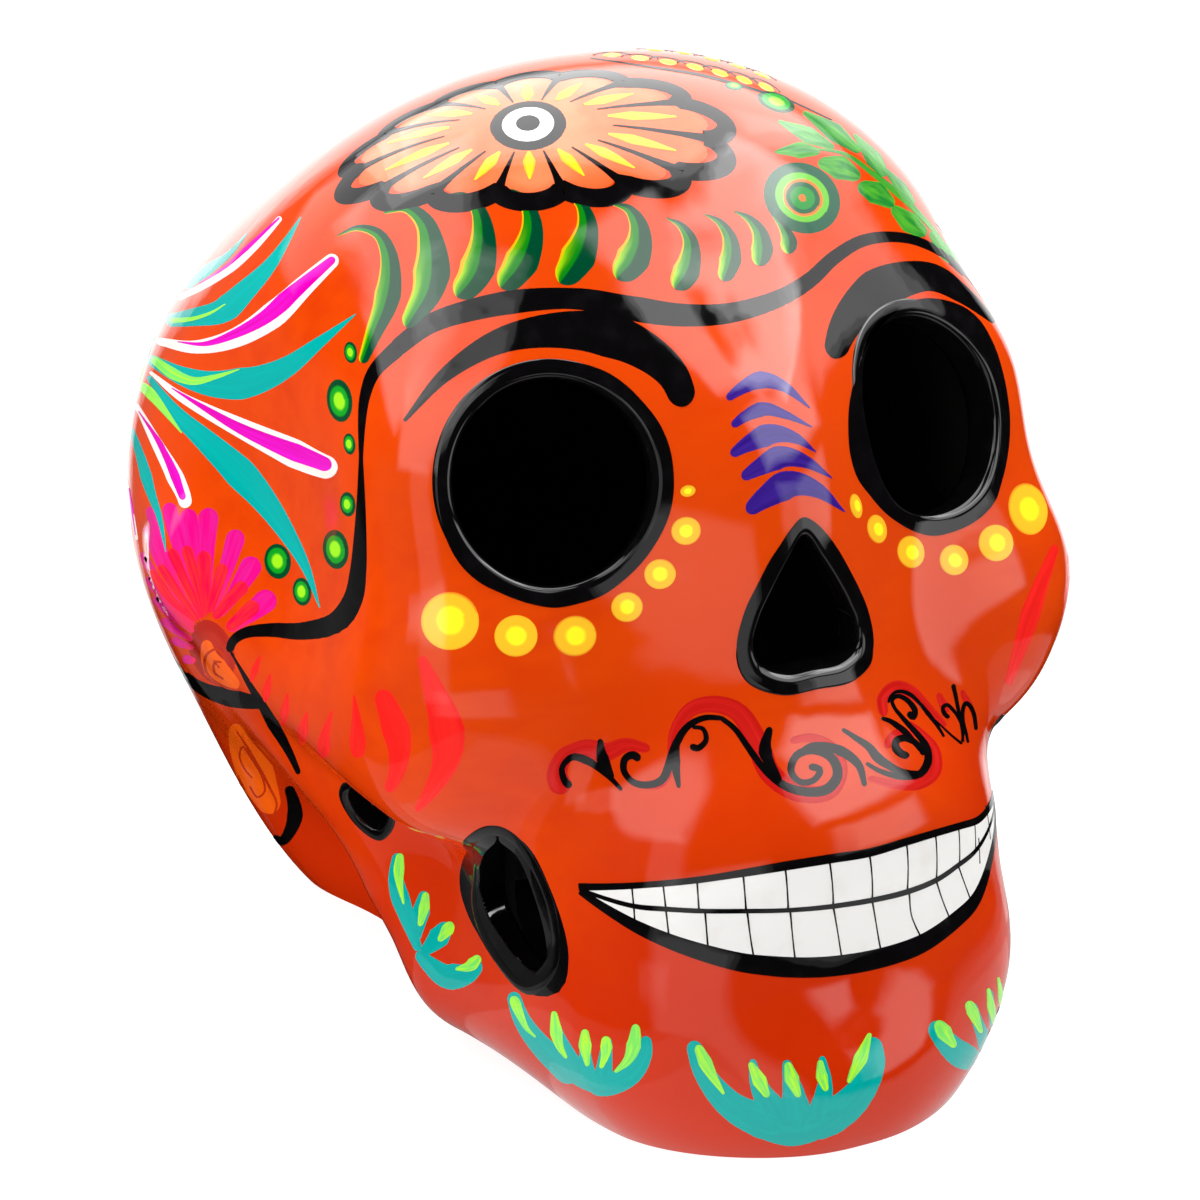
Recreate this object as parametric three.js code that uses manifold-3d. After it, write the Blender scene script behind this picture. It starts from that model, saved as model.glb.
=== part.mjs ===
// A hollow sugar skull of glazed earthenware: a front and a rear casting joined along one parting line,
// a flat floor slab set in their open underside, and raised enamel on the teeth and round every hole.
// Millimetres, +Z up, the face looks along -Y, and the origin is under the middle of the base.
import * as THREE from 'three';
import { mergeVertices } from 'three/addons/utils/BufferGeometryUtils.js';
import Module from 'manifold-3d';

const wasm = await Module();
wasm.setup();

// Overall size of the skull.
const SKULL_LENGTH = 178.7;
const SKULL_WIDTH = 146.2;
const SKULL_HEIGHT = 154.1;

// Thickness of the clay, and the slip joint where two clay pieces meet.
const WALL = 5;
const SLIP_JOINT = 0.3;

// Enamel standing on the clay: the bond line under it, and its own thickness.
const ENAMEL_BOND = 0.3;
const ENAMEL_THICKNESS = 0.6;
const RIM_WIDTH = 3;

// Floor slab with its pouring hole.
const FLOOR_THICKNESS = 6;
const FLOOR_HOLE_DIAMETER = 30;

// Holes of the eyes, the nose and the cheeks, and the small holes under the cheekbone arches.
const EYE_HOLE_WIDTH = 29.8;
const EYE_HOLE_HEIGHT = 30.8;
const NOSE_HOLE_WIDTH = 18.8;
const NOSE_HOLE_HEIGHT = 20.5;
const CHEEK_HOLE_WIDTH = 20;
const CHEEK_HOLE_HEIGHT = 23;
const ARCH_HOLE_WIDTH = 7;
const ARCH_HOLE_HEIGHT = 9;
const ARCH_RIM_WIDTH = 1.8;

// Painted mouth: width over both corners, rise of the biting line to them, and depth of each tooth row.
const MOUTH_WIDTH = 70;
const BITE_RISE = 3;
const BITE_GAP = 0.8;
const UPPER_TOOTH_HEIGHT = 7.2;
const LOWER_TOOTH_HEIGHT = 6.2;

// How far a cutter runs out of the clay on each side of the surface that it goes through.
const CUTTER_OUTSIDE = 14;
const CUTTER_INSIDE = 16;
const ARCH_CUTTER_OUTSIDE = 3;

// Grid steps along each of the surface's six fields, outside and inside, and steps round an outline.
const OUTSIDE_STEPS = 18;
const INSIDE_STEPS = 11;
const OUTLINE_STEPS = 24;

// Directions in which the holes look: turned out from the face, and tipped up.
const EYE_TURN_DEGREES = 19;
const EYE_TIP_DEGREES = 18.5;
const CHEEK_TURN_DEGREES = 69;
const ARCH_TURN_DEGREES = 64;
const ARCH_TIP_DEGREES = -24;

const CLAY_COLOR = 0xc8401a;
const BLACK_ENAMEL_COLOR = 0x1c1b20;
const WHITE_ENAMEL_COLOR = 0xe9e6e0;

// The skull is one rounded mass of blended swellings. Middles (x, y, z) and half sizes are shares of its
// width, length and height, and a bar's radii and all blend widths are shares of its width. What lies at one
// side is repeated at the other.
const VAULT_SHARES = { middle: [0, 0.0905, 0.5185], half: [0.4617, 0.3721, 0.401] };
const SWELLING_SHARES = [
  { name: 'forehead', middle: [0, -0.0477, 0.6853], half: [0.3906, 0.2183, 0.3089], blend: 0.164 },
  { name: 'nape', middle: [0, 0.2736, 0.2836], half: [0.301, 0.2121, 0.3842], blend: 0.178 },
  { name: 'throat', middle: [0, 0.0265, 0.06], half: [0.185, 0.3425, 0.26], blend: 0.07 },
  { name: 'midface', middle: [0, -0.1165, 0.4925], half: [0.3413, 0.1723, 0.2972], blend: 0.164 },
  { name: 'brow', middle: [0.2332, -0.1948, 0.6424], half: [0.1402, 0.0543, 0.061], blend: 0.164 },
  { name: 'maxilla', middle: [0, -0.2927, 0.2745], half: [0.2599, 0.1774, 0.1681], blend: 0.137 },
  { name: 'cheek', middle: [0.2777, -0.2318, 0.451], half: [0.1389, 0.1018, 0.1097], blend: 0.137 },
  { name: 'chin', middle: [0, -0.3264, 0.0513], half: [0.1922, 0.1769, 0.1428], blend: 0.109 },
  { name: 'nose', middle: [0, -0.2721, 0.5445], half: [0.0876, 0.1013, 0.1817], blend: 0.15 },
];
const BAR_SHARES = [
  {
    name: 'jaw', from: [0.1368, -0.3498, 0.1265], to: [0.2127, -0.1372, 0.0999], radii: [0.1047, 0.0848],
    blend: 0.123,
  },
  {
    name: 'ramus', from: [0.2503, -0.0851, 0.1986], to: [0.3283, -0.0186, 0.4023], radii: [0.0629, 0.0581],
    blend: 0.096,
  },
];
const TEMPLE_HOLLOW_SHARES = {
  middle: [0.554, -0.1165, 0.6385], half: [0.143, 0.1729, 0.1953], blend: 0.123,
};
const ARCH_SHARES = {
  from: [0.314, -0.2312, 0.3718], to: [0.4309, 0.0373, 0.5062], radii: [0.0527, 0.0445], blend: 0.082,
};
const MIRROR_ROUNDING_SHARE = 0.0137;
const CORE_HEIGHT_SHARE = 0.52;

// Places as shares of the width, length and height: the middles of the holes, near the surface, the parting
// line, the floor hole, which lies under the back of the head, and the middle of the biting line.
const EYE_PLACE_SHARES = [0.2223, -0.29575, 0.66385];
const NOSE_PLACE_SHARES = [0.0137, -0.39368, 0.5308];
const CHEEK_PLACE_SHARES = [0.28386, -0.28176, 0.23751];
const ARCH_PLACE_SHARES = [0.35226, -0.12507, 0.27904];
const PARTING_LENGTH_SHARE = -0.04113;
const FLOOR_HOLE_LENGTH_SHARE = 0.18271;
const BITE_HEIGHT_SHARE = 0.25698;

// Outlines of the holes as shares of their half width and half height, each run through by a smooth
// closed curve.
const ROUND_OUTLINE_SHARES = [[0, 1], [1, 0], [0, -1], [-1, 0]];
const NOSE_OUTLINE_SHARES = [
  [0, 1], [0.3, 0.62], [0.6, 0.17], [0.8, -0.17], [0.97, -0.55], [0.93, -0.87], [0.55, -1], [0, -0.98],
  [-0.5, -0.97], [-0.9, -0.79], [-1, -0.5], [-0.88, -0.1], [-0.67, 0.26], [-0.3, 0.74],
];
const CHEEK_OUTLINE_SHARES = [
  [0.28, 0.98], [0.62, 0.66], [0.98, 0.1], [1, -0.55], [0.5, -0.98], [-0.2, -0.84],
  [-0.86, -0.4], [-0.64, 0.26], [-0.12, 0.78],
];
const ARCH_OUTLINE_SHARES = [
  [-0.2, 1], [0.75, 0.7], [0.85, -0.3], [0.1, -1], [-0.75, -0.6], [-0.95, 0.3],
];

const overall = new THREE.Vector3(SKULL_WIDTH, SKULL_LENGTH, SKULL_HEIGHT);
const core = new THREE.Vector3(0, 0, CORE_HEIGHT_SHARE * SKULL_HEIGHT);

const shareToPoint = (share) => new THREE.Vector3(...share).multiply(overall);

const makeEllipsoid = ({ middle, half, blend = 0 }) => ({
  middle: shareToPoint(middle), half: shareToPoint(half), blend: blend * SKULL_WIDTH,
});

const makeBar = ({ from, to, radii, blend }) => ({
  from: shareToPoint(from),
  span: shareToPoint(to).sub(shareToPoint(from)),
  radii: radii.map((radius) => radius * SKULL_WIDTH),
  blend: blend * SKULL_WIDTH,
});

const vault = makeEllipsoid(VAULT_SHARES);
const swellings = SWELLING_SHARES.map(makeEllipsoid);
const bars = BAR_SHARES.map(makeBar);
const templeHollow = makeEllipsoid(TEMPLE_HOLLOW_SHARES);
const arch = makeBar(ARCH_SHARES);

const scratch = new THREE.Vector3();
const scratchToo = new THREE.Vector3();

// Near enough the distance from a point to an ellipsoid, negative inside.
function ellipsoidDistance(point, { middle, half }) {
  const scaled = scratch.subVectors(point, middle).divide(half);
  const size = scaled.length();
  const steepness = scratchToo.copy(scaled).divide(half).length() || 1 / half.x;
  return (size * (size - 1)) / steepness;
}

// Distance from a point to a round bar whose radius changes evenly along it.
function barDistance(point, { from, span, radii }) {
  const offset = scratch.subVectors(point, from);
  const along = THREE.MathUtils.clamp(offset.dot(span) / span.lengthSq(), 0, 1);
  return offset.addScaledVector(span, -along).length() - THREE.MathUtils.lerp(radii[0], radii[1], along);
}

function blendedUnion(a, b, blend) {
  const overlap = Math.max(blend - Math.abs(a - b), 0) / blend;
  return Math.min(a, b) - (overlap * overlap * blend) / 4;
}

// Height of a point above the skull's outer surface, negative in the clay and in the hollow.
function skullDistance(point) {
  const rounding = MIRROR_ROUNDING_SHARE * SKULL_WIDTH;
  const folded = new THREE.Vector3(Math.hypot(point.x, rounding) - rounding, point.y, point.z);
  let distance = ellipsoidDistance(folded, vault);
  for (const swelling of swellings) {
    distance = blendedUnion(distance, ellipsoidDistance(folded, swelling), swelling.blend);
  }
  for (const bar of bars) {
    distance = blendedUnion(distance, barDistance(folded, bar), bar.blend);
  }
  distance = -blendedUnion(-distance, ellipsoidDistance(folded, templeHollow), templeHollow.blend);
  return blendedUnion(distance, barDistance(folded, arch), arch.blend);
}

// The point where a ray passes through the given level above the surface: coming in from outside, or, for the
// hollow, going out from the core.
function pointOnLevel(origin, direction, level, fromOutside) {
  const reach = SKULL_LENGTH;
  const scanSteps = 90;
  const at = (distance) => origin.clone().addScaledVector(direction, distance);
  const isInside = (distance) => skullDistance(at(distance)) < level;
  let near = fromOutside ? reach : 0;
  let far = near;
  for (let step = 1; step <= scanSteps; step += 1) {
    far = (reach * (fromOutside ? scanSteps - step : step)) / scanSteps;
    if (isInside(far) === fromOutside) break;
    near = far;
  }
  for (let halving = 0; halving < 22; halving += 1) {
    const middle = (near + far) / 2;
    if (isInside(middle) === fromOutside) far = middle;
    else near = middle;
  }
  return at(far);
}

function toSolid(geometry) {
  const bare = geometry.index ? geometry.toNonIndexed() : geometry.clone();
  bare.deleteAttribute('normal');
  bare.deleteAttribute('uv');
  const merged = mergeVertices(bare);
  return new wasm.Manifold(new wasm.Mesh({
    numProp: 3,
    vertProperties: new Float32Array(merged.attributes.position.array),
    triVerts: new Uint32Array(merged.index.array),
  }));
}

// A cut along the grid can shed slivers with no volume: the piece is the largest body that it leaves.
function mainBody(solid) {
  return solid.decompose().reduce((main, other) => (other.volume() > main.volume() ? other : main));
}

function toMesh(name, solid, color, roughness) {
  const { vertProperties, triVerts } = mainBody(solid).getMesh();
  const geometry = new THREE.BufferGeometry();
  geometry.setAttribute('position', new THREE.BufferAttribute(vertProperties, 3));
  geometry.setIndex(new THREE.BufferAttribute(triVerts, 1));
  geometry.computeVertexNormals();
  const mesh = new THREE.Mesh(geometry, new THREE.MeshStandardMaterial({ color, roughness, metalness: 0 }));
  mesh.name = name;
  return mesh;
}

// The closed skin at one level above the outer surface, on a grid of the six sides of a cube round the core.
function makeSkin(level, steps, fromOutside = true) {
  const geometry = new THREE.BoxGeometry(2, 2, 2, steps, steps, steps);
  geometry.deleteAttribute('normal');
  geometry.deleteAttribute('uv');
  const skin = mergeVertices(geometry);
  const position = skin.attributes.position;
  const direction = new THREE.Vector3();
  for (let index = 0; index < position.count; index += 1) {
    direction.fromBufferAttribute(position, index);
    direction.set(...direction.toArray().map((value) => Math.tan((value * Math.PI) / 4))).normalize();
    const point = pointOnLevel(core, direction, level, fromOutside);
    position.setXYZ(index, point.x, point.y, point.z);
  }
  return toSolid(skin);
}

// A block that reaches past the skull on every side but between the two heights.
function makeLayer(bottom, top) {
  const block = new THREE.BoxGeometry(2 * SKULL_WIDTH, 2 * SKULL_LENGTH, top - bottom);
  return toSolid(block.translate(0, 0, (top + bottom) / 2));
}

// Where a hole sits on the surface, and the way it looks: local +Z points out of the clay and local +Y up.
function holePlace(aim, turn, tip) {
  const outward = new THREE.Vector3(0, -1, 0)
    .applyAxisAngle(new THREE.Vector3(1, 0, 0), THREE.MathUtils.degToRad(-tip))
    .applyAxisAngle(new THREE.Vector3(0, 0, 1), THREE.MathUtils.degToRad(turn));
  const fromInside = aim.clone().addScaledVector(outward, -SKULL_WIDTH / 4);
  const seat = pointOnLevel(fromInside, outward, 0, true);
  const across = new THREE.Vector3(0, 0, 1).cross(outward).normalize();
  const up = new THREE.Vector3().crossVectors(outward, across);
  return new THREE.Matrix4().makeBasis(across, up, outward).setPosition(seat);
}

function makeOutline(shares, width, height, growth) {
  const corners = shares.map(([across, up]) => (
    new THREE.Vector3(across * (width / 2 + growth), up * (height / 2 + growth), 0)));
  const points = new THREE.CatmullRomCurve3(corners, true, 'centripetal').getPoints(OUTLINE_STEPS);
  return new THREE.Shape(points.slice(0, -1).map(({ x, y }) => new THREE.Vector2(x, y)));
}

function makeCutter(hole, growth) {
  const shape = hole.makeShape(growth);
  const depth = hole.outside + CUTTER_INSIDE;
  const prism = new THREE.ExtrudeGeometry(shape, { depth, bevelEnabled: false });
  return toSolid(prism.translate(0, 0, -CUTTER_INSIDE).applyMatrix4(hole.place));
}

function ellipseShape(width, height, growth) {
  const curve = new THREE.EllipseCurve(0, 0, width / 2 + growth, height / 2 + growth);
  return new THREE.Shape(curve.getPoints(OUTLINE_STEPS).slice(0, -1));
}

// One hole, its name, and the enamel rim that runs round it.
function makeHole(name, aim, turn, tip, makeShape, rimWidth = RIM_WIDTH, outside = CUTTER_OUTSIDE) {
  return { name, place: holePlace(aim, turn, tip), makeShape, rimWidth, outside };
}

// The skull's right side lies at -X. A hole there looks out to -X, and its outline mirrors the left one's.
function makeHolePair(name, aim, turn, tip, outline, rimWidth, outside) {
  return [['left', 1], ['right', -1]].map(([side, sign]) => {
    const sideAim = new THREE.Vector3(sign * aim.x, aim.y, aim.z);
    return makeHole(`${name}_${side}`, sideAim, sign * turn, tip, outline(sign), rimWidth, outside);
  });
}

const mirrored = (shares, sign) => shares.map(([across, up]) => [sign * across, up]);

// Eye, nose, cheek and arch holes.
const eyeHoles = makeHolePair(
  'eye_rim', shareToPoint(EYE_PLACE_SHARES), EYE_TURN_DEGREES, EYE_TIP_DEGREES,
  () => (growth) => ellipseShape(EYE_HOLE_WIDTH, EYE_HOLE_HEIGHT, growth));

const noseHole = makeHole(
  'nose_rim', shareToPoint(NOSE_PLACE_SHARES), 0, 0,
  (growth) => makeOutline(NOSE_OUTLINE_SHARES, NOSE_HOLE_WIDTH, NOSE_HOLE_HEIGHT, growth));

const cheekHoles = makeHolePair(
  'cheek_rim', shareToPoint(CHEEK_PLACE_SHARES), CHEEK_TURN_DEGREES, 0,
  (sign) => (growth) => makeOutline(
    mirrored(CHEEK_OUTLINE_SHARES, -sign), CHEEK_HOLE_WIDTH, CHEEK_HOLE_HEIGHT, growth));

const archHoles = makeHolePair(
  'arch_rim', shareToPoint(ARCH_PLACE_SHARES), ARCH_TURN_DEGREES, ARCH_TIP_DEGREES,
  (sign) => (growth) => makeOutline(
    mirrored(ARCH_OUTLINE_SHARES, -sign), ARCH_HOLE_WIDTH, ARCH_HOLE_HEIGHT, growth),
  ARCH_RIM_WIDTH, ARCH_CUTTER_OUTSIDE);

const holes = [...eyeHoles, noseHole, ...cheekHoles, ...archHoles];

// Clay pieces.
const aboveBase = makeLayer(0, 2 * SKULL_HEIGHT);
const body = makeSkin(0, OUTSIDE_STEPS).intersect(aboveBase);
const hollow = makeSkin(-WALL, INSIDE_STEPS, false);
let shell = body.subtract(hollow);
for (const hole of holes) shell = shell.subtract(makeCutter(hole, 0));

function makeHalfSpace(towardFace) {
  const block = new THREE.BoxGeometry(2 * SKULL_WIDTH, SKULL_LENGTH, 2 * SKULL_HEIGHT);
  const partingY = PARTING_LENGTH_SHARE * SKULL_LENGTH;
  const middleY = towardFace
    ? partingY - (SLIP_JOINT + SKULL_LENGTH) / 2
    : partingY + (SLIP_JOINT + SKULL_LENGTH) / 2;
  return toSolid(block.translate(0, middleY, SKULL_HEIGHT / 2));
}

const faceCasting = shell.intersect(makeHalfSpace(true));
const rearCasting = shell.intersect(makeHalfSpace(false));

function makeFloorSlab() {
  const inside = makeSkin(-WALL - SLIP_JOINT, INSIDE_STEPS, false);
  const slab = inside.intersect(makeLayer(0, FLOOR_THICKNESS));
  const radius = FLOOR_HOLE_DIAMETER / 2;
  const drill = new THREE.CylinderGeometry(radius, radius, 4 * FLOOR_THICKNESS, OUTLINE_STEPS)
    .rotateX(Math.PI / 2)
    .translate(0, FLOOR_HOLE_LENGTH_SHARE * SKULL_LENGTH, 0);
  return slab.subtract(toSolid(drill));
}

// Enamel lies between two levels above the clay.
const enamelCoat = makeSkin(ENAMEL_BOND + ENAMEL_THICKNESS, OUTSIDE_STEPS)
  .subtract(makeSkin(ENAMEL_BOND, OUTSIDE_STEPS));

function makeRim(hole) {
  const band = makeCutter(hole, hole.rimWidth).subtract(makeCutter(hole, 0));
  return enamelCoat.intersect(band);
}

// One row of teeth: the enamel between the biting line and an arc that meets it at both corners of the mouth.
function makeToothRow(side, toothHeight) {
  const half = MOUTH_WIDTH / 2;
  const biteZ = BITE_HEIGHT_SHARE * SKULL_HEIGHT;
  const columns = Array.from({ length: OUTLINE_STEPS + 1 }, (_, index) => -1 + (2 * index) / OUTLINE_STEPS);
  const bite = columns.map((share) => new THREE.Vector2(
    share * half, biteZ + BITE_RISE * share ** 2 + (side * BITE_GAP) / 2));
  const edge = columns.map((share, index) => new THREE.Vector2(
    share * half, bite[index].y + side * toothHeight * (1 - share ** 2) + (side * BITE_GAP) / 2));
  const outline = side > 0 ? [...bite, ...edge.reverse()] : [...edge, ...bite.reverse()];
  const reach = { depth: SKULL_LENGTH / 2, bevelEnabled: false };
  const prism = new THREE.ExtrudeGeometry(new THREE.Shape(outline), reach);
  return enamelCoat.intersect(toSolid(prism.rotateX(Math.PI / 2)));
}

const skull = new THREE.Group();
skull.add(
  toMesh('face_casting', faceCasting, CLAY_COLOR, 0.2),
  toMesh('rear_casting', rearCasting, CLAY_COLOR, 0.2),
  toMesh('floor_slab', makeFloorSlab(), CLAY_COLOR, 0.7),
  toMesh('upper_teeth', makeToothRow(1, UPPER_TOOTH_HEIGHT), WHITE_ENAMEL_COLOR, 0.2),
  toMesh('lower_teeth', makeToothRow(-1, LOWER_TOOTH_HEIGHT), WHITE_ENAMEL_COLOR, 0.2),
);
for (const hole of holes) skull.add(toMesh(hole.name, makeRim(hole), BLACK_ENAMEL_COLOR, 0.2));

export default skull;
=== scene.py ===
# %% [markdown]
# # A painted sugar skull
# The object is a hollow skull of fired clay, cast in a front and a rear half, coated in burnt orange, painted
# by hand with a round brush and dipped in clear gloss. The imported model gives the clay, the holes, the enamel
# rims and the teeth. This lesson lays a finer skin on the same form and paints it, stroke by stroke.

import bpy
import numpy as np
from mathutils import Matrix


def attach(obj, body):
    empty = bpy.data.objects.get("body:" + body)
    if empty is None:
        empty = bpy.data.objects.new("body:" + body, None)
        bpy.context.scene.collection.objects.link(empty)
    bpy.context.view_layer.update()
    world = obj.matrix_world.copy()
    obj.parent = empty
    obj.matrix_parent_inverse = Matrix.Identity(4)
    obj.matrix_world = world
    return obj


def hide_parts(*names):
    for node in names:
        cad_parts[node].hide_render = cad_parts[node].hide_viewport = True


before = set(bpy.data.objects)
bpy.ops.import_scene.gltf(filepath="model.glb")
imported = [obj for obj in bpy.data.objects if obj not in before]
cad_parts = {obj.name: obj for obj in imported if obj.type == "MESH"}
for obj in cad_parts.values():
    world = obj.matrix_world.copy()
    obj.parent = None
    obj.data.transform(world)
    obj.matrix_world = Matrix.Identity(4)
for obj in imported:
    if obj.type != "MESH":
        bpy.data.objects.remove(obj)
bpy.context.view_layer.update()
print("nodes in the frame:", sorted(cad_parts))

# %% [markdown]
# ## The camera
# The photograph looks down a little on the skull's right cheek with a long lens. Making the camera first pays
# twice: it frames the render, and its numbers let a place in the photograph be carried onto the clay.

# %% Camera numbers, in millimetres and degrees
MM = 0.001
IMAGE_SIDE = 1200
FOCAL_PIXELS = 4233.39
SENSOR_WIDTH = 36.0
CAMERA_DISTANCE = 696.63
CAMERA_TURN, CAMERA_TILT, CAMERA_ROLL = np.radians([-26.87, 19.3, -1.46])
CAMERA_AIM = np.array([0.0, -3.72, 63.03])


def camera_axes(turn, tilt, roll):
    """Right, up and backward unit vectors of a camera that is turned about Z, tilted down and rolled."""
    back = np.array([np.sin(turn) * np.cos(tilt), -np.cos(turn) * np.cos(tilt), np.sin(tilt)])
    level_right = np.array([np.cos(turn), np.sin(turn), 0.0])
    level_up = np.cross(back, level_right)
    right = np.cos(roll) * level_right + np.sin(roll) * level_up
    up = np.cos(roll) * level_up - np.sin(roll) * level_right
    return right, up, back


RIGHT, UP, BACK = camera_axes(CAMERA_TURN, CAMERA_TILT, CAMERA_ROLL)
EYE = CAMERA_AIM + BACK * CAMERA_DISTANCE

# %% Make the camera
camera_data = bpy.data.cameras.new("photo_camera")
camera_data.sensor_width = SENSOR_WIDTH
camera_data.lens = FOCAL_PIXELS * SENSOR_WIDTH / IMAGE_SIDE
camera_data.clip_end = 20.0
camera = bpy.data.objects.new("photo_camera", camera_data)
bpy.context.scene.collection.objects.link(camera)
turned = np.eye(4)
turned[:3, 0], turned[:3, 1], turned[:3, 2], turned[:3, 3] = RIGHT, UP, BACK, EYE * MM
camera.matrix_world = Matrix(turned.tolist())
bpy.context.scene.camera = camera
print(f"camera: {camera_data.lens:.1f} mm lens, {CAMERA_DISTANCE:.0f} mm away")

# %% [markdown]
# ## The form of the clay
# A cast skull has no edges: brow, cheek, jaw and vault run into each other. That is easiest to write as a
# height above the surface for any point in space. Each swelling is an ellipsoid or a tapered bar, and
# neighbours are blended so that the crease between them fills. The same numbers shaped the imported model, so
# both agree.

# %% Swellings of the skull, as shares of its width, length and height
SIZE = np.array([146.2, 178.7, 154.1])
WIDTH, LENGTH, HEIGHT = SIZE
WALL = 5.0
PARTING_Y = -0.04113 * LENGTH
CORE = np.array([0.0, 0.0, 0.52 * HEIGHT])
MIRROR_ROUNDING = 0.0137 * WIDTH
VAULT = ((0, 0.0905, 0.5185), (0.4617, 0.3721, 0.401))
# name: (middle, half sizes, width of the blend)
SWELLINGS = {
    "forehead": ((0, -0.0477, 0.6853), (0.3906, 0.2183, 0.3089), 0.164),
    "nape": ((0, 0.2736, 0.2836), (0.301, 0.2121, 0.3842), 0.178),
    "throat": ((0, 0.0265, 0.06), (0.185, 0.3425, 0.26), 0.07),
    "midface": ((0, -0.1165, 0.4925), (0.3413, 0.1723, 0.2972), 0.164),
    "brow": ((0.2332, -0.1948, 0.6424), (0.1402, 0.0543, 0.061), 0.164),
    "maxilla": ((0, -0.2927, 0.2745), (0.2599, 0.1774, 0.1681), 0.137),
    "cheek": ((0.2777, -0.2318, 0.451), (0.1389, 0.1018, 0.1097), 0.137),
    "chin": ((0, -0.3264, 0.0513), (0.1922, 0.1769, 0.1428), 0.109),
    "nose": ((0, -0.2721, 0.5445), (0.0876, 0.1013, 0.1817), 0.15),
}
# name: (one end, other end, radius at each, width of the blend)
BARS = {
    "jaw": ((0.1368, -0.3498, 0.1265), (0.2127, -0.1372, 0.0999), (0.1047, 0.0848), 0.123),
    "ramus": ((0.2503, -0.0851, 0.1986), (0.3283, -0.0186, 0.4023), (0.0629, 0.0581), 0.096),
}
TEMPLE_HOLLOW = ((0.554, -0.1165, 0.6385), (0.143, 0.1729, 0.1953), 0.123)
ARCH = ((0.314, -0.2312, 0.3718), (0.4309, 0.0373, 0.5062), (0.0527, 0.0445), 0.082)


# %% Height above the clay
def ellipsoid_height(points, middle, half):
    """Near enough the distance to an ellipsoid: its scaled radius k gives k(k - 1) over the slope of k."""
    half = np.array(half) * SIZE
    scaled = (points - np.array(middle) * SIZE) / half
    size = np.linalg.norm(scaled, axis=-1)
    slope = np.linalg.norm(scaled / half, axis=-1) + 1e-9
    return size * (size - 1) / slope


def bar_height(points, start, end, radii):
    """Distance to a straight bar whose radius changes evenly from one end to the other."""
    start, end = np.array(start) * SIZE, np.array(end) * SIZE
    offset, span = points - start, end - start
    along = np.clip(offset @ span / (span @ span), 0, 1)
    radius = (radii[0] + (radii[1] - radii[0]) * along) * WIDTH
    return np.linalg.norm(offset - along[..., None] * span, axis=-1) - radius


def blended(a, b, share):
    """The lower of two heights, less a parabola of the given width where they nearly agree."""
    blend = share * WIDTH
    overlap = np.maximum(blend - np.abs(a - b), 0) / blend
    return np.minimum(a, b) - overlap ** 2 * blend / 4


def clay_height(points):
    """Height of each point above the clay in millimetres, negative inside. Both sides mirror each other."""
    folded = points.copy()
    folded[..., 0] = np.hypot(points[..., 0], MIRROR_ROUNDING) - MIRROR_ROUNDING
    height = ellipsoid_height(folded, *VAULT)
    for middle, half, share in SWELLINGS.values():
        height = blended(height, ellipsoid_height(folded, middle, half), share)
    for start, end, radii, share in BARS.values():
        height = blended(height, bar_height(folded, start, end, radii), share)
    height = -blended(-height, ellipsoid_height(folded, *TEMPLE_HOLLOW[:2]), TEMPLE_HOLLOW[2])
    return blended(height, bar_height(folded, *ARCH[:3]), ARCH[3])


# %% Slope of the clay, and how to walk onto it
DIFFERENCE = 0.05
STRIDE = 2.0
HALVINGS = 14


def clay_slope(points):
    """Gradient of the height, by differences over a tenth of a millimetre along each axis."""
    steps = DIFFERENCE * np.eye(3)
    sides = [clay_height(points + step) - clay_height(points - step) for step in steps]
    return np.stack(sides, axis=-1) / (2 * DIFFERENCE)


def outward(points):
    slope = clay_slope(points)
    return slope / np.linalg.norm(slope, axis=-1, keepdims=True)


def drop(points, rounds=4):
    """Moves points onto the clay: each round steps back along the slope by height over steepness. Points
    that start farther off take more rounds."""
    for _ in range(rounds):
        slope = clay_slope(points)
        steepness = (slope ** 2).sum(axis=-1, keepdims=True)
        points = points - clay_height(points)[..., None] * slope / steepness
    return points


def crossing(starts, directions, level, reach, stride):
    """First place along each ray where it passes the level, by even strides and then by halving."""
    starts, directions = np.broadcast_arrays(starts, directions)
    shape = starts.shape
    starts, directions = starts.reshape(-1, 3), directions.reshape(-1, 3)
    began_outside = clay_height(starts) > level
    travelled = np.zeros(len(starts))
    walking = np.arange(len(starts))
    for far in np.arange(stride, reach + stride, stride):
        outside = clay_height(starts[walking] + far * directions[walking]) > level
        walking = walking[outside == began_outside[walking]]
        travelled[walking] = far
        if not len(walking):
            break
    found = np.ones(len(starts), bool)
    found[walking] = False
    low, high = travelled, travelled + stride
    for _ in range(HALVINGS):
        middle = (low + high) / 2
        still = (clay_height(starts + middle[:, None] * directions) > level) == began_outside
        low, high = np.where(still, middle, low), np.where(still, high, middle)
    points = starts + high[:, None] * directions
    return points.reshape(shape), found.reshape(shape[:-1])


# %% From a place in the photograph to a place on the clay
SIGHT_DEPTH, SIGHT_STRIDE = 230.0, 1.5


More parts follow.
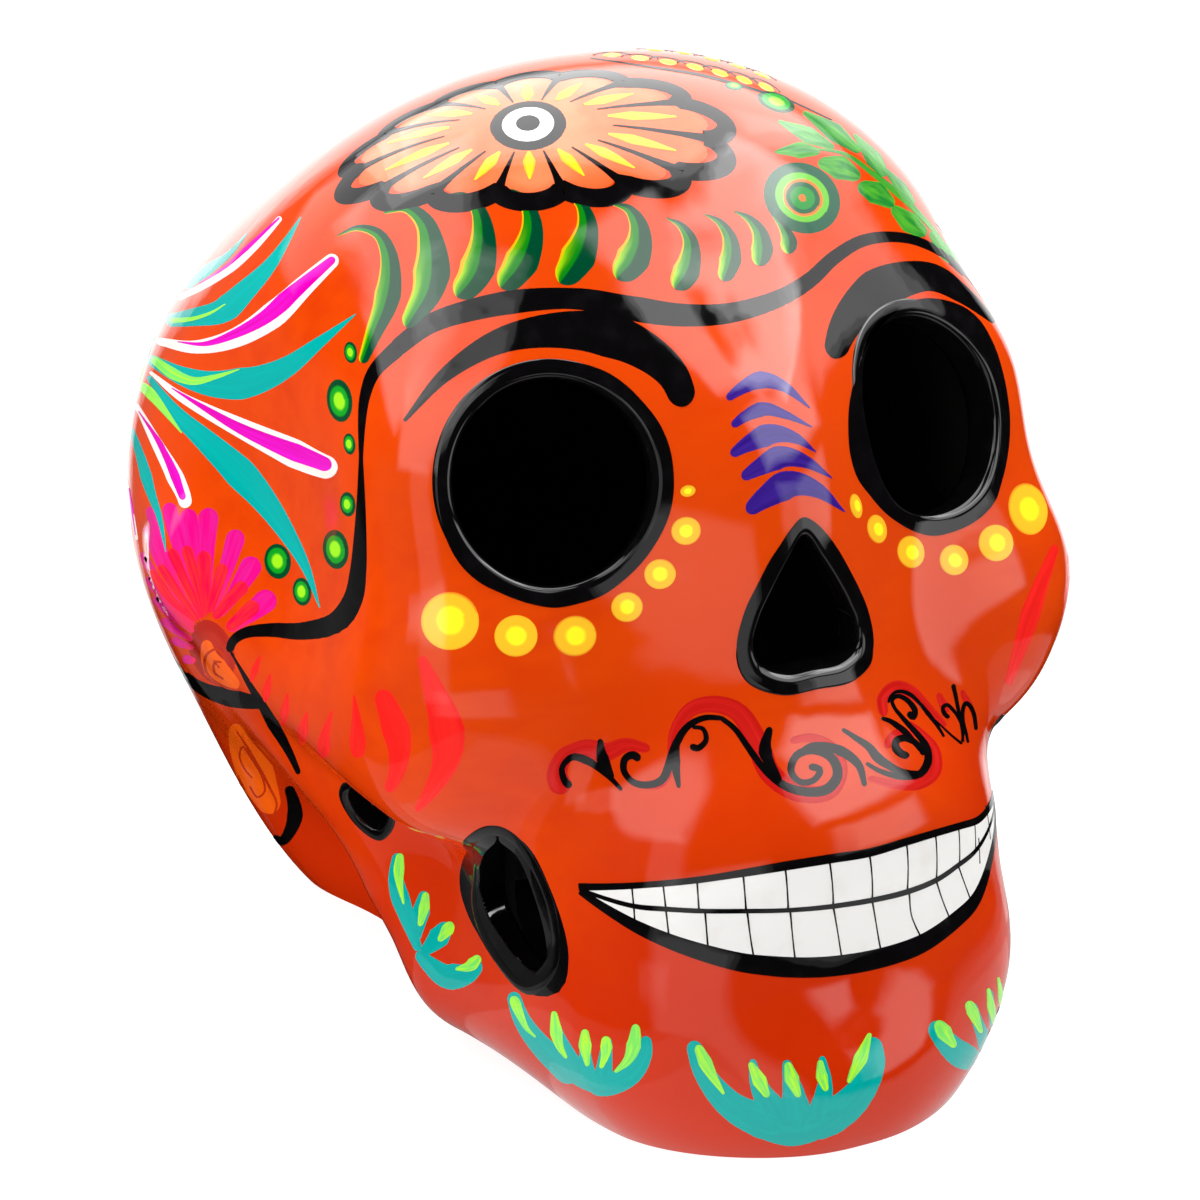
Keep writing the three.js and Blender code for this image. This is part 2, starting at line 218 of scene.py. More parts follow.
def see(pixels):
    """Clay points under pixels of the photograph. A ray that just misses takes the nearest rim point."""
    pixels = np.asarray(pixels, float)
    across = (pixels[..., 0] - IMAGE_SIDE / 2) / FOCAL_PIXELS
    upward = (IMAGE_SIDE / 2 - pixels[..., 1]) / FOCAL_PIXELS
    rays = across[..., None] * RIGHT + upward[..., None] * UP - BACK
    rays /= np.linalg.norm(rays, axis=-1, keepdims=True)
    starts = EYE + (CAMERA_DISTANCE - SIGHT_DEPTH / 2) * rays
    hits, found = crossing(starts, rays, 0.0, SIGHT_DEPTH, SIGHT_STRIDE)
    if not found.all():
        strides = np.arange(0, SIGHT_DEPTH, STRIDE)[:, None]
        track = starts[~found][:, None] + strides * rays[~found][:, None]
        lowest = clay_height(track).argmin(axis=1)
        hits[~found] = drop(track[np.arange(len(track)), lowest], 8)
    return hits


print("forehead above the nose, mm:", see([[760, 330]]).round(1))

# %% [markdown]
# ## Turning arrays into meshes
# Everything from here on is a grid of points. One function puts a grid, or several, into a mesh in one go
# with its faces, a material and any named values that the material reads. Places are kept in the mesh itself,
# in metres, and the object stays at the origin.


# %% Mesh from arrays
def make_piece(name, points, faces, values=None):
    """A mesh from points in millimetres, arrays of faces, and one number per point for each named value."""
    mesh = bpy.data.meshes.new(name)
    mesh.vertices.add(len(points))
    mesh.vertices.foreach_set("co", (np.asarray(points) * MM).astype(np.float32).ravel())
    sizes = np.concatenate([np.full(len(group), group.shape[1]) for group in faces])
    corners = np.concatenate([group.ravel() for group in faces])
    mesh.loops.add(len(corners))
    mesh.loops.foreach_set("vertex_index", corners.astype(np.int32))
    mesh.polygons.add(len(sizes))
    mesh.polygons.foreach_set("loop_start", (np.cumsum(sizes) - sizes).astype(np.int32))
    mesh.update(calc_edges=True)
    for title, numbers in (values or {}).items():
        layer = mesh.attributes.new(title, "FLOAT", "POINT")
        layer.data.foreach_set("value", np.asarray(numbers, np.float32).ravel())
    mesh.shade_smooth()
    piece = bpy.data.objects.new(name, mesh)
    bpy.context.scene.collection.objects.link(piece)
    return piece


# %% A closed skin round the core
def cube_sphere(steps):
    """Directions over a cube swelled to a ball: six square fields of even angles, welded at their edges."""
    angle = np.tan(np.linspace(-np.pi / 4, np.pi / 4, steps + 1))
    u, v = np.meshgrid(angle, angle, indexing="ij")
    one = np.ones_like(u)
    sides = [(one, u, v), (-one, v, u), (v, one, u), (u, -one, v), (u, v, one), (v, u, -one)]
    directions = np.concatenate([np.stack(side, axis=-1).reshape(-1, 3) for side in sides])
    row, column = np.meshgrid(np.arange(steps), np.arange(steps), indexing="ij")
    first = (row * (steps + 1) + column).ravel()
    field = np.stack([first, first + steps + 1, first + steps + 2, first + 1], axis=-1)
    quads = np.concatenate([field + side * (steps + 1) ** 2 for side in range(6)])
    _, kept, place = np.unique(directions.round(6), axis=0, return_index=True, return_inverse=True)
    directions = directions[kept]
    return directions / np.linalg.norm(directions, axis=1, keepdims=True), place.ravel()[quads]


def skin(level, steps, from_outside):
    """The surface at one level: where rays from the core last leave it or, in the hollow, first reach it."""
    directions, quads = cube_sphere(steps)
    if from_outside:
        reach = 0.75 * LENGTH
        points, _ = crossing(CORE + directions * reach, -directions, level, reach, STRIDE)
    else:
        points, _ = crossing(CORE, directions, level, LENGTH, STRIDE)
    return points, [quads]


SKIN_STEPS = 128
HOLLOW_STEPS = 60
skin_piece = make_piece("skin", *skin(0.0, SKIN_STEPS, True))
hollow_piece = make_piece("hollow", *skin(-WALL, HOLLOW_STEPS, False))
print("skin corners:", len(skin_piece.data.vertices), "hollow corners:", len(hollow_piece.data.vertices))

# %% [markdown]
# ## Smooth curves
# Outlines and brush paths are a few chosen points with a smooth curve run through them. The centripetal
# Catmull-Rom rule keeps such a curve from looping where the points lie close together.


# %% Curve through points
SPAN_STEPS = 24


def smooth(points, count, closed=False):
    """Centripetal Catmull-Rom curve through the points, cut into pieces of even length."""
    points = np.asarray(points, float).reshape(len(points), -1)
    if closed:
        padded = np.concatenate([points[-1:], points, points[:2]])
    else:
        padded = np.concatenate([2 * points[:1] - points[1:2], points, 2 * points[-1:] - points[-2:-1]])
    p0, p1, p2, p3 = padded[:-3], padded[1:-2], padded[2:-1], padded[3:]
    d0, d1, d2 = (np.sqrt(np.linalg.norm(b - a, axis=1, keepdims=True) + 1e-9)
                  for a, b in ((p0, p1), (p1, p2), (p2, p3)))
    start = ((p1 - p0) / d0 - (p2 - p0) / (d0 + d1) + (p2 - p1) / d1) * d1
    end = ((p2 - p1) / d1 - (p3 - p1) / (d1 + d2) + (p3 - p2) / d2) * d1
    t = np.linspace(0, 1, SPAN_STEPS, endpoint=False)[:, None, None]
    curve = ((2 * t ** 3 - 3 * t ** 2 + 1) * p1 + (t ** 3 - 2 * t ** 2 + t) * start
             + (3 * t ** 2 - 2 * t ** 3) * p2 + (t ** 3 - t ** 2) * end)
    curve = np.concatenate([curve.transpose(1, 0, 2).reshape(-1, points.shape[1]), p2[-1:]])
    travelled = np.concatenate([[0], np.cumsum(np.linalg.norm(np.diff(curve, axis=0), axis=1))])
    wanted = np.linspace(0, travelled[-1], count, endpoint=not closed)
    return np.stack([np.interp(wanted, travelled, column) for column in curve.T], axis=-1)


# %% [markdown]
# ## The holes
# Eyes, nose, cheeks and the small gaps under the cheekbone arches go right through the wall. Each hole has an
# outline in its own plane and a direction that it looks in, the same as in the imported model.

# %% Hole sizes, places and outlines
OUTLINE_POINTS = 144
ROUND = [[np.sin(angle), np.cos(angle)] for angle in np.linspace(0, 2 * np.pi, 24, endpoint=False)]
NOSE = [[0, 1], [0.3, 0.62], [0.6, 0.17], [0.8, -0.17], [0.97, -0.55], [0.93, -0.87], [0.55, -1], [0, -0.98],
        [-0.5, -0.97], [-0.9, -0.79], [-1, -0.5], [-0.88, -0.1], [-0.67, 0.26], [-0.3, 0.74]]
CHEEK = [[-0.28, 0.98], [-0.62, 0.66], [-0.98, 0.1], [-1, -0.55], [-0.5, -0.98],
         [0.2, -0.84], [0.86, -0.4], [0.64, 0.26], [0.12, 0.78]]
GAP = [[0.2, 1], [-0.75, 0.7], [-0.85, -0.3], [-0.1, -1], [0.75, -0.6], [0.95, 0.3]]
# name: (outline, width, height, place as shares, degrees turned out, degrees tipped up, rim width, reach out)
HOLES = {
    "eye_rim": (ROUND, 29.8, 30.8, (0.2223, -0.29575, 0.66385), 19, 18.5, 3, 14),
    "nose_rim": (NOSE, 18.8, 20.5, (0.0137, -0.39368, 0.5308), 0, 0, 3, 14),
    "cheek_rim": (CHEEK, 20, 23, (0.28386, -0.28176, 0.23751), 69, 0, 3, 14),
    "arch_rim": (GAP, 7, 9, (0.35226, -0.12507, 0.27904), 64, -24, 1.8, 3),
}


# %% One hole's plane and outline
def hole_plane(name):
    """Middle of the hole on the clay, and its across, up and outward directions, on the skull's left side."""
    place, turn, tip = HOLES[name][3:6]
    turn, tip = np.radians([turn, tip])
    out = np.array([np.cos(tip) * np.sin(turn), -np.cos(tip) * np.cos(turn), np.sin(tip)])
    across = np.cross([0, 0, 1], out)
    across /= np.linalg.norm(across)
    inside = np.array(place) * SIZE - out * WIDTH / 4
    seat, _ = crossing((inside + out * LENGTH)[None], -out[None], 0.0, LENGTH, STRIDE)
    return seat[0], across, np.cross(out, across), out


def grown_outline(name, growth):
    """Outline of a hole in its own plane, in millimetres, grown on every side."""
    outline, width, height = HOLES[name][:3]
    return smooth(np.array(outline) * [width / 2 + growth, height / 2 + growth], OUTLINE_POINTS, True)


def hole_rings(name, growths, depths):
    """Rings round a hole: its outline, grown in its plane, laid on the clay and pushed in along the hole."""
    reach = HOLES[name][7]
    seat, across, up, out = hole_plane(name)
    curve = np.stack([grown_outline(name, growth) for growth in growths])
    starts = seat + curve[..., :1] * across + curve[..., 1:] * up + reach * out
    on_clay, _ = crossing(starts, -out, 0.0, reach + 20.0, 1.0)
    return on_clay - np.asarray(depths, float)[:, None, None] * out


# %% A tube of rings, closed at both ends or joined into a ring
def tube_faces(rings, around, joined=False):
    """Faces of a tube of closed rings. Its ends join each other, or each closes on a point of its own."""
    ring, corner = np.meshgrid(np.arange(rings if joined else rings - 1), np.arange(around), indexing="ij")
    after, following = (corner + 1) % around, (ring + 1) % rings
    quads = np.stack([ring * around + corner, ring * around + after,
                      following * around + after, following * around + corner], axis=-1).reshape(-1, 4)
    if joined:
        return [quads]
    edge = np.arange(around)
    after = (edge + 1) % around
    last, pole = (rings - 1) * around, rings * around
    first_cap = np.stack([np.full(around, pole), after, edge], axis=-1)
    last_cap = np.stack([last + edge, last + after, np.full(around, pole + 1)], axis=-1)
    return [quads, np.concatenate([first_cap, last_cap])]


def turned_out(points, faces):
    """The same faces, turned over if the closed mesh they make has a negative volume about its middle."""
    inner = points - points.mean(axis=0)
    volume = 0.0
    for group in faces:
        for step in range(1, group.shape[1] - 1):
            a, b, c = inner[group[:, 0]], inner[group[:, step]], inner[group[:, step + 1]]
            volume += (np.cross(a, b) * c).sum()
    return [group[:, ::-1] for group in faces] if volume < 0 else faces


def mirrored(points, faces):
    """The piece on the other side of the skull: its points cross over, and its faces are turned over."""
    return points * [-1, 1, 1], [group[:, ::-1] for group in faces]


# %% [markdown]
# ## The two castings
# The clay wall is the outer skin less the hollow, open underneath, and cut by a plane across the head where
# the front and the rear mould met. The holes are cut a little too wide, because each enamel rim then turns
# over the edge and lines the wall, as thick enamel does.

# %% Cutters and blocks
EDGE_SHARE = 0.42
CUT_DEPTH = 16


def make_block(name, low, high):
    """A six-sided block between two corners."""
    corners = np.array([[x, y, z] for z in (0, 1) for y in (0, 1) for x in (0, 1)])
    points = np.array(low) + corners * (np.array(high) - np.array(low))
    quads = np.array([[0, 2, 3, 1], [4, 5, 7, 6], [0, 1, 5, 4], [2, 6, 7, 3], [0, 4, 6, 2], [1, 3, 7, 5]])
    return make_piece(name, points, [quads])


def make_cutter(name):
    """A prism along the hole: two flat copies of its outline, with room for the rounded edge of its rim."""
    rim, reach = HOLES[name][6:]
    seat, across, up, out = hole_plane(name)
    curve = grown_outline(name, EDGE_SHARE * rim)
    flat = seat + curve[:, :1] * across + curve[:, 1:] * up
    rings = np.stack([flat + reach * out, flat - CUT_DEPTH * out])
    points = np.concatenate([rings.reshape(-1, 3), [seat + reach * out, seat - CUT_DEPTH * out]])
    return points, turned_out(points, tube_faces(2, OUTLINE_POINTS))


cutters = []
for name in HOLES:
    shape = make_cutter(name)
    cutters.append(make_piece("cutter", *shape))
    if name != "nose_rim":
        cutters.append(make_piece("cutter", *mirrored(*shape)))
far = 200.0
above_base = make_block("above_base", (-far, -far, 0), (far, far, far))
front_half = make_block("front_half", (-far, -far, -far), (far, PARTING_Y, far))
rear_half = make_block("rear_half", (-far, PARTING_Y, -far), (far, far, far))
print("hole cutters:", len(cutters))


# %% Cut the castings
SHARP_DEGREES = 35
SKIN_TOLERANCE, SAME_WAY = 0.06, 0.94


def make_casting(name, half):
    """The skin, cut by the half of the mould, the base plane, the hollow and every hole, as one mesh."""
    raw = bpy.data.objects.new(name, skin_piece.data.copy())
    bpy.context.scene.collection.objects.link(raw)
    cuts = [(above_base, "INTERSECT"), (half, "INTERSECT"), (hollow_piece, "DIFFERENCE")]
    for tool, operation in cuts + [(cutter, "DIFFERENCE") for cutter in cutters]:
        step = raw.modifiers.new("cut", "BOOLEAN")
        step.object, step.operation, step.solver = tool, operation, "MANIFOLD"
    graph = bpy.context.evaluated_depsgraph_get()
    mesh = bpy.data.meshes.new_from_object(raw.evaluated_get(graph))
    mesh.name = name
    raw.modifiers.clear()
    raw.data = mesh
    return raw


def finish_casting(casting):
    """Marks how deep each corner lies in the clay, and gives the outer skin the exact normals of the form."""
    mesh = casting.data
    points = np.empty(len(mesh.vertices) * 3, np.float32)
    mesh.vertices.foreach_get("co", points)
    points = points.reshape(-1, 3).astype(float) / MM
    height = clay_height(points)
    layer = mesh.attributes.new("depth", "FLOAT", "POINT")
    layer.data.foreach_set("value", (-height).astype(np.float32))
    mesh.shade_smooth()
    mesh.set_sharp_from_angle(angle=np.radians(SHARP_DEGREES))
    loops = np.empty(len(mesh.loops), np.int32)
    mesh.loops.foreach_get("vertex_index", loops)
    normals = np.empty(len(mesh.loops) * 3, np.float32)
    mesh.corner_normals.foreach_get("vector", normals)
    normals = normals.reshape(-1, 3)
    starts = np.empty(len(mesh.polygons), np.int32)
    mesh.polygons.foreach_get("loop_start", starts)
    totals = np.empty(len(mesh.polygons), np.int32)
    mesh.polygons.foreach_get("loop_total", totals)
    face_of_loop = np.repeat(np.arange(len(starts)), totals)
    flat = np.empty(len(mesh.polygons) * 3, np.float32)
    mesh.polygons.foreach_get("normal", flat)
    flat = flat.reshape(-1, 3)
    exact = outward(points)[loops]
    agrees = (exact * flat[face_of_loop]).sum(axis=1) > SAME_WAY
    on_skin = (np.abs(height[loops]) < SKIN_TOLERANCE) & agrees
    normals[on_skin] = exact[on_skin]
    mesh.normals_split_custom_set(normals)
    return casting


face_casting = finish_casting(make_casting("face_clay", front_half))
rear_casting = finish_casting(make_casting("rear_clay", rear_half))
for tool in cutters + [above_base, front_half, rear_half, skin_piece, hollow_piece]:
    bpy.data.objects.remove(tool)
print("faces:", len(face_casting.data.polygons), "front and", len(rear_casting.data.polygons), "rear")

# %% [markdown]
# ## Enamel rims
# Round every hole lies a band of thick black enamel that rolls over the edge and down the wall of the hole.
# It is one closed ring: a small profile, given as growth of the outline and depth below the clay, carried
# round.


# %% Rims round the holes
RIM_LIFT = 0.14


def make_rim(name):
    """A ring whose profile runs in over the clay, round the edge by a quarter circle, and down the wall. Each
    place of the profile is a growth of the outline and a depth."""
    rim = HOLES[name][6]
    radius = EDGE_SHARE * rim
    bend = np.radians(np.linspace(0, 90, 8))
    over = [[rim, 0.25], [rim - 0.08, -0.04], [rim - 0.25, -RIM_LIFT], [(rim + radius) / 2, -1.3 * RIM_LIFT]]
    edge = np.stack([radius * (1 - np.sin(bend)), radius * (1 - np.cos(bend)) - RIM_LIFT], axis=1)
    down = [[0, 2.0], [0, WALL], [0, WALL + 1], [radius + 0.3, WALL + 1], [radius + 0.3, 0.6]]
    rings = hole_rings(name, *np.concatenate([over, edge, down]).T)
    points = rings.reshape(-1, 3)
    return points, turned_out(points, tube_faces(len(rings), OUTLINE_POINTS, True))


rims = {}
for name in HOLES:
    left = make_rim(name)
    if name == "nose_rim":
        rims["nose_rim"] = make_piece("nose_enamel", *left)
    else:
        rims[name + "_left"] = make_piece(name.replace("rim", "enamel") + "_left", *left)
        rims[name + "_right"] = make_piece(name.replace("rim", "enamel") + "_right", *mirrored(*left))
print("rims:", sorted(rims))

# %% [markdown]
# ## Brush strokes
# A stroke of paint is a thin closed ribbon that lies on the clay. Its middle line is drawn through points
# seen in the photograph, its width comes from a short list, and every corner of its grid is carried onto the
# clay by itself, so the ribbon hugs the form. Two values ride along for the materials: how far across and how
# far along.


# %% Ribbons
PAINT_LIFT = 0.07
SUNK_EDGE, SUNK_BACK = 0.05, 0.3
RIBBON_FLATNESS, DAB_FLATNESS = 12, 6


def spread(count):
    """Places across a stroke from -1 to 1, closer together towards its edges."""
    return np.sin(np.linspace(-np.pi / 2, np.pi / 2, count))


def ribbon(grid, lift=PAINT_LIFT, tint=0.0):
    """A closed ribbon on a grid of clay points: a flat-topped profile with sunk edges, and a buried back."""
    along, across = grid.shape[:2]
    out = outward(grid)
    u = spread(across)
    profile = lift - (lift + SUNK_EDGE) * np.abs(u) ** RIBBON_FLATNESS
    top = grid + out * profile[None, :, None]
    back = grid[:, [-1, 0]] - out[:, [-1, 0]] * SUNK_BACK
    rings = np.concatenate([top, back], axis=1)
    poles = rings[[0, -1]].mean(axis=1)
    points = np.concatenate([rings.reshape(-1, 3), poles])
    faces = turned_out(points, tube_faces(along, across + 2))
    steps = np.linalg.norm(np.diff(grid[:, across // 2], axis=0), axis=1)
    v = np.concatenate([[0], np.cumsum(steps)]) / steps.sum()
    values = {
        "across": np.concatenate([np.tile(np.append(u, [1, -1]), along), [0, 0]]),
        "along": np.concatenate([np.repeat(v, across + 2), [0, 1]]),
        "tint": np.full(len(points), tint),
    }
    return points, faces, values


# Strokes come out a little narrower than they are drawn, and each next one in a piece gets its own tint.
WIDER = 1.08
TINT_STEP = 0.61
FINE_STEPS = 400
THINNEST, SHORTEST_END, THINNEST_MM = 0.3, 0.6, 0.04


def brush_grid(pixels, widths, along, across):
    """Pixels under a stroke: a smooth middle line, with its normals times the half width on either side. The
    rows stand closer near the ends, where the half width follows a circle, so that both ends are round."""
    fine = smooth(pixels, FINE_STEPS)
    even = np.linspace(0, 1, FINE_STEPS)
    share = (1 - np.cos(np.linspace(0, np.pi, along))) / 2
    middle = np.stack([np.interp(share, even, column) for column in fine.T], axis=-1)
    width = np.interp(share, even, smooth(widths, FINE_STEPS).ravel())
    half = np.maximum(width, THINNEST) * WIDER / 2
    length = np.linalg.norm(np.diff(fine, axis=0), axis=1).sum()
    for travelled, end in ((share * length, half[0]), ((1 - share) * length, half[-1])):
        reach = max(end, SHORTEST_END)
        half = half * np.sqrt(1 - np.clip(1 - travelled / reach, 0, 0.999) ** 2)
    direction = np.gradient(middle, axis=0)
    direction /= np.linalg.norm(direction, axis=1, keepdims=True)
    side = np.stack([-direction[:, 1], direction[:, 0]], axis=1)
    return middle[:, None] + spread(across)[None, :, None] * (side * half[:, None])[:, None]


def stroke(pixels, widths, lift=PAINT_LIFT, tint=0.0, along=36, across=7):
    """A stroke seen in the photograph, as a ribbon. Widths are pixels, evenly spaced along it."""
    return ribbon(see(brush_grid(pixels, widths, along, across)), lift, tint)


def panel(first_edge, second_edge, lift, across=9):
    """A ribbon between two edges on the clay: straight lines from edge to edge, dropped onto it."""
    share = (1 + spread(across)[None, :, None]) / 2
    grid = first_edge[:, None] * (1 - share) + second_edge[:, None] * share
    return ribbon(drop(grid), lift)


def line(path, widths, lift=PAINT_LIFT, across=7):
    """A ribbon along points on the clay. Its side is across the path in the clay's surface, widths in mm."""
    width = np.interp(np.linspace(0, 1, len(path)), np.linspace(0, 1, len(widths)), widths)
    half = np.maximum(width, THINNEST_MM) / 2
    direction = np.gradient(path, axis=0)
    side = np.cross(outward(path), direction)
    side /= np.linalg.norm(side, axis=1, keepdims=True)
    grid = path[:, None] + spread(across)[None, :, None] * (side * half[:, None])[:, None]
    return ribbon(drop(grid), lift)


def dab(pixel, radii, turn=0.0, lift=0.12, rings=9, spokes=40):
    """A round dab of paint: rings about a pixel, drawn out by its two radii and turned."""
    radius = np.linspace(0, 1, rings + 1)[1:]
    angle = np.linspace(0, 2 * np.pi, spokes, endpoint=False)
    lean = np.radians(turn)
    x = radius[:, None] * np.cos(angle) * radii[0]
    y = radius[:, None] * np.sin(angle) * radii[1]
    spot = np.stack([x * np.cos(lean) - y * np.sin(lean), x * np.sin(lean) + y * np.cos(lean)], axis=-1)
    places = see(np.array(pixel) + np.concatenate([spot.reshape(-1, 2), [[0, 0]]]))
    return dab_on(places, radius, spokes, lift)


def dab_on(places, radius, spokes, lift):
    """The closed dab on clay points that are given ring by ring, with the middle last. Its height falls off
    with a high power of the radius, so that it is flat in the middle and round at the rim."""
    out = outward(places)
    height = lift - (lift + SUNK_EDGE) * np.append(np.repeat(radius, spokes), 0) ** DAB_FLATNESS
    top = places + out * height[:, None]
    back = places[-1 - spokes:-1] * 0.98 + places[-1] * 0.02 - out[-1] * SUNK_BACK
    points = np.concatenate([top[:-1], back, [top[-1]], [places[-1] - out[-1] * SUNK_BACK]])
    faces = turned_out(points, tube_faces(len(radius) + 1, spokes))
    values = {
        "across": np.concatenate([np.repeat(np.append(radius, 1), spokes), [0, 1]]),
        "along": np.tile(np.linspace(0, 1, spokes), len(radius) + 1).tolist() + [0, 0],
        "tint": np.zeros(len(points)),
    }
    return points, faces, values


def other_side(parts):
    return [(*mirrored(points, faces), values) for points, faces, values in parts]


painted = []


def gather(name, parts, paint_name, both_sides=False, nodes=()):
    """One piece from many ribbons and dabs, with their mirror images where both sides carry them. It is noted
    with the name of its paint, which is mixed later, and with the nodes that it stands for."""
    if both_sides:
        parts = parts + other_side(parts)
    offsets = np.cumsum([0] + [len(points) for points, _, _ in parts])
    quads = np.concatenate([faces[0] + offset for (_, faces, _), offset in zip(parts, offsets)])
    triangles = np.concatenate([faces[1] + offset for (_, faces, _), offset in zip(parts, offsets)])
    for index, part in enumerate(parts):
        part[2]["tint"] = part[2]["tint"] + TINT_STEP * index
    values = {title: np.concatenate([part[2][title] for part in parts]) for title in parts[0][2]}
    points = np.concatenate([part[0] for part in parts])
    piece = make_piece(name, points, [quads, triangles], values)
    piece.data.normals_split_custom_set_from_vertices(outward(points).tolist())
    painted.append((piece, paint_name, nodes))


def lay(name, rows, paint_name, both_sides=False, widen=1, **brush):
    """One piece from rows that each give a stroke's pixels and widths."""
    strokes = [stroke(pixels, np.array(widths) * widen, **brush) for pixels, widths in rows]
    gather(name, strokes, paint_name, both_sides)


# %% [markdown]
# ## The smile
# Two rows of white teeth lie between a thin upper line, a biting line and a heavy lower line. The lines are
# seen as far as the middle of the left half of the mouth, and beyond it they repeat the other corner.

# %% Curves of the mouth
UPPER_LINE = [(579, 887), (630, 886), (698, 880), (744, 873), (786, 866), (830, 859), (868, 853), (906, 842),
              (936, 833), (960, 826), (978, 820)]
BITE_LINE = [(582, 890), (634, 906), (666, 909), (706, 911), (746, 911), (790, 910), (834, 906), (872, 900),
             (906, 892), (936, 880), (958, 865), (974, 852)]
LOWER_LINE = [(580, 891), (610, 911), (638, 927), (670, 941), (706, 953), (742, 962), (766, 965), (806, 967),
              (846, 964), (886, 956), (922, 943), (955, 920), (976, 898)]
MOUTH_POINTS = 160


def across_mouth(pixels):
    """A curve from corner to corner: the seen points, then a way to the mirror image of the seen corner."""
    seen = see(pixels)
    corner = seen[0] * [-1, 1, 1]
    share = np.array([[0.5], [1.0]])
    beyond = drop(seen[-1] * (1 - share) + corner * share)
    return drop(smooth(np.concatenate([seen, beyond]), MOUTH_POINTS))


upper_curve, bite_curve, lower_curve = map(across_mouth, (UPPER_LINE, BITE_LINE, LOWER_LINE))
print("mouth, mm wide:", round(float(np.ptp(upper_curve[:, 0])), 1))

# %% Teeth and their lines
TOOTH_LIFT, LINE_LIFT, GAP_LIFT = 0.1, 0.17, 0.14
TEETH = {"upper_teeth": (upper_curve, bite_curve), "lower_teeth": (bite_curve, lower_curve)}
for node, edges in TEETH.items():
    gather("white_" + node, [panel(*edges, TOOTH_LIFT)], "white_enamel", nodes=[node])
mouth_lines = [
    line(upper_curve, [1.2, 1.0, 1.1, 1.5, 1.5, 1.3, 1.2, 1.2, 1.4], LINE_LIFT),
    line(bite_curve, [0.7, 0.9, 0.8, 0.8, 1.0, 1.1, 1.0, 0.9, 0.8], LINE_LIFT),
    line(lower_curve, [1.2, 2.3, 3.0, 3.5, 3.6, 3.4, 3.0, 2.4, 1.4], LINE_LIFT),
]
UPPER_GAPS = [[(632, 886), (634, 907)], [(663, 883), (666, 909)], [(697, 880), (699, 911)],
              [(743, 874), (746, 911)], [(785, 867), (788, 910)], [(829, 860), (833, 905)],
              [(869, 853), (872, 899)], [(906, 842), (907, 891)], [(935, 834), (936, 880)],
              [(958, 827), (959, 864)], [(974, 822), (975, 851)]]
LOWER_GAPS = [
    [(634, 907), (635, 921)], [(666, 910), (669, 936)], [(705, 911), (708, 949)],
    [(747, 911), (750, 935), (754, 960)], [(790, 910), (795, 960)], [(833, 906), (838, 936), (842, 960)],
    [(872, 900), (876, 925), (881, 952)], [(909, 893), (911, 915), (921, 938)],
    [(936, 881), (942, 900), (951, 922)], [(958, 866), (965, 886), (971, 902)],
]


GAP_POINTS, NARROW_TOOTH = 14, 2.0


def gap_lines(pixel_lists):
    """Thin lines between teeth. Those at the unseen corner repeat the ones at the seen corner."""
    paths = [drop(smooth(see(pixels), GAP_POINTS)) for pixels in pixel_lists]
    lines = [line(path, [0.42, 0.3, 0.42], GAP_LIFT, across=5) for path in paths]
    reach = max(points[:, 0].mean() for points, _, _ in lines)
    return lines + other_side([part for part in lines if part[0][:, 0].mean() < -reach - NARROW_TOOTH])


mouth_lines += gap_lines(UPPER_GAPS) + gap_lines(LOWER_GAPS)
gather("mouth_lines", mouth_lines, "black_enamel")
print("lines of the mouth:", len(mouth_lines))

# %% [markdown]
# ## Black lines
# The painter ruled the face off with one broad black line over both brows and down in front of the temple,
# and filled the brows with a full brush. Wide where the brush was pressed, and almost nothing where it was
# lifted.

# %% Brows, contour line and hole edges
BROWS = [
    ([(404, 421), (445, 375), (495, 343), (545, 331), (600, 333), (640, 348), (672, 374), (686, 406)],
     [3, 20, 27, 32, 37, 42, 38, 24]),
    ([(833, 358), (845, 326), (865, 301), (890, 284), (930, 277), (962, 294), (995, 322)],
     [20, 40, 42, 36, 27, 17, 5]),
]
CONTOUR_TOP = ([(392, 352), (430, 324), (480, 308), (530, 300), (580, 299), (630, 308), (680, 315),
                (730, 313), (780, 298), (810, 280), (835, 257), (865, 240), (905, 238), (940, 252),
                (966, 275)], [17, 20, 23, 24, 23, 22, 21, 23, 25, 24, 21, 17, 12, 10, 6])
CONTOUR_SIDE = ([(402, 344), (374, 372), (365, 396), (362, 420), (361, 460), (361, 500), (360, 540),
                 (358, 572), (353, 599), (337, 622), (303, 631), (270, 630), (245, 633), (233, 641),
                 (229, 652)], [18, 13, 7, 5, 4, 4, 5, 6, 11, 21, 22, 20, 18, 14, 8])
ARCH_LINE = ([(231, 652), (241, 670), (252, 689), (262, 705), (271, 721), (283, 741), (292, 758), (299, 774)],
             [3, 2, 2, 4, 8, 12, 11, 5])
ARCH_END = ([(288, 786), (293, 800), (295, 815), (290, 831), (282, 841), (273, 837)], [9, 13, 14, 16, 15, 7])
NAPE_LINE = ([(184, 674), (195, 684), (210, 692), (228, 697), (246, 701), (264, 703)],
             [8, 18, 19, 18, 17, 12])
CHEEK_EDGE = ([(494, 834), (476, 851), (468, 877), (475, 910), (489, 937), (509, 965), (532, 984), (552, 984),
               (558, 960), (556, 938), (543, 894), (523, 852), (500, 834)],
              [14, 17, 18, 17, 16, 17, 20, 22, 16, 14, 13, 13, 13])
brow_strokes = [stroke(pixels, np.array(widths) * 1.05, lift=0.1, along=60) for pixels, widths in BROWS]
gather("brows_and_contour", brow_strokes + [stroke(*CONTOUR_TOP, along=110)], "black_enamel")
side_lines = [stroke(*row, along=80) for row in (CONTOUR_SIDE, ARCH_LINE, ARCH_END, NAPE_LINE)]
side_lines.append(stroke(*CHEEK_EDGE, along=90))
gather("side_lines", side_lines, "black_enamel", both_sides=True)
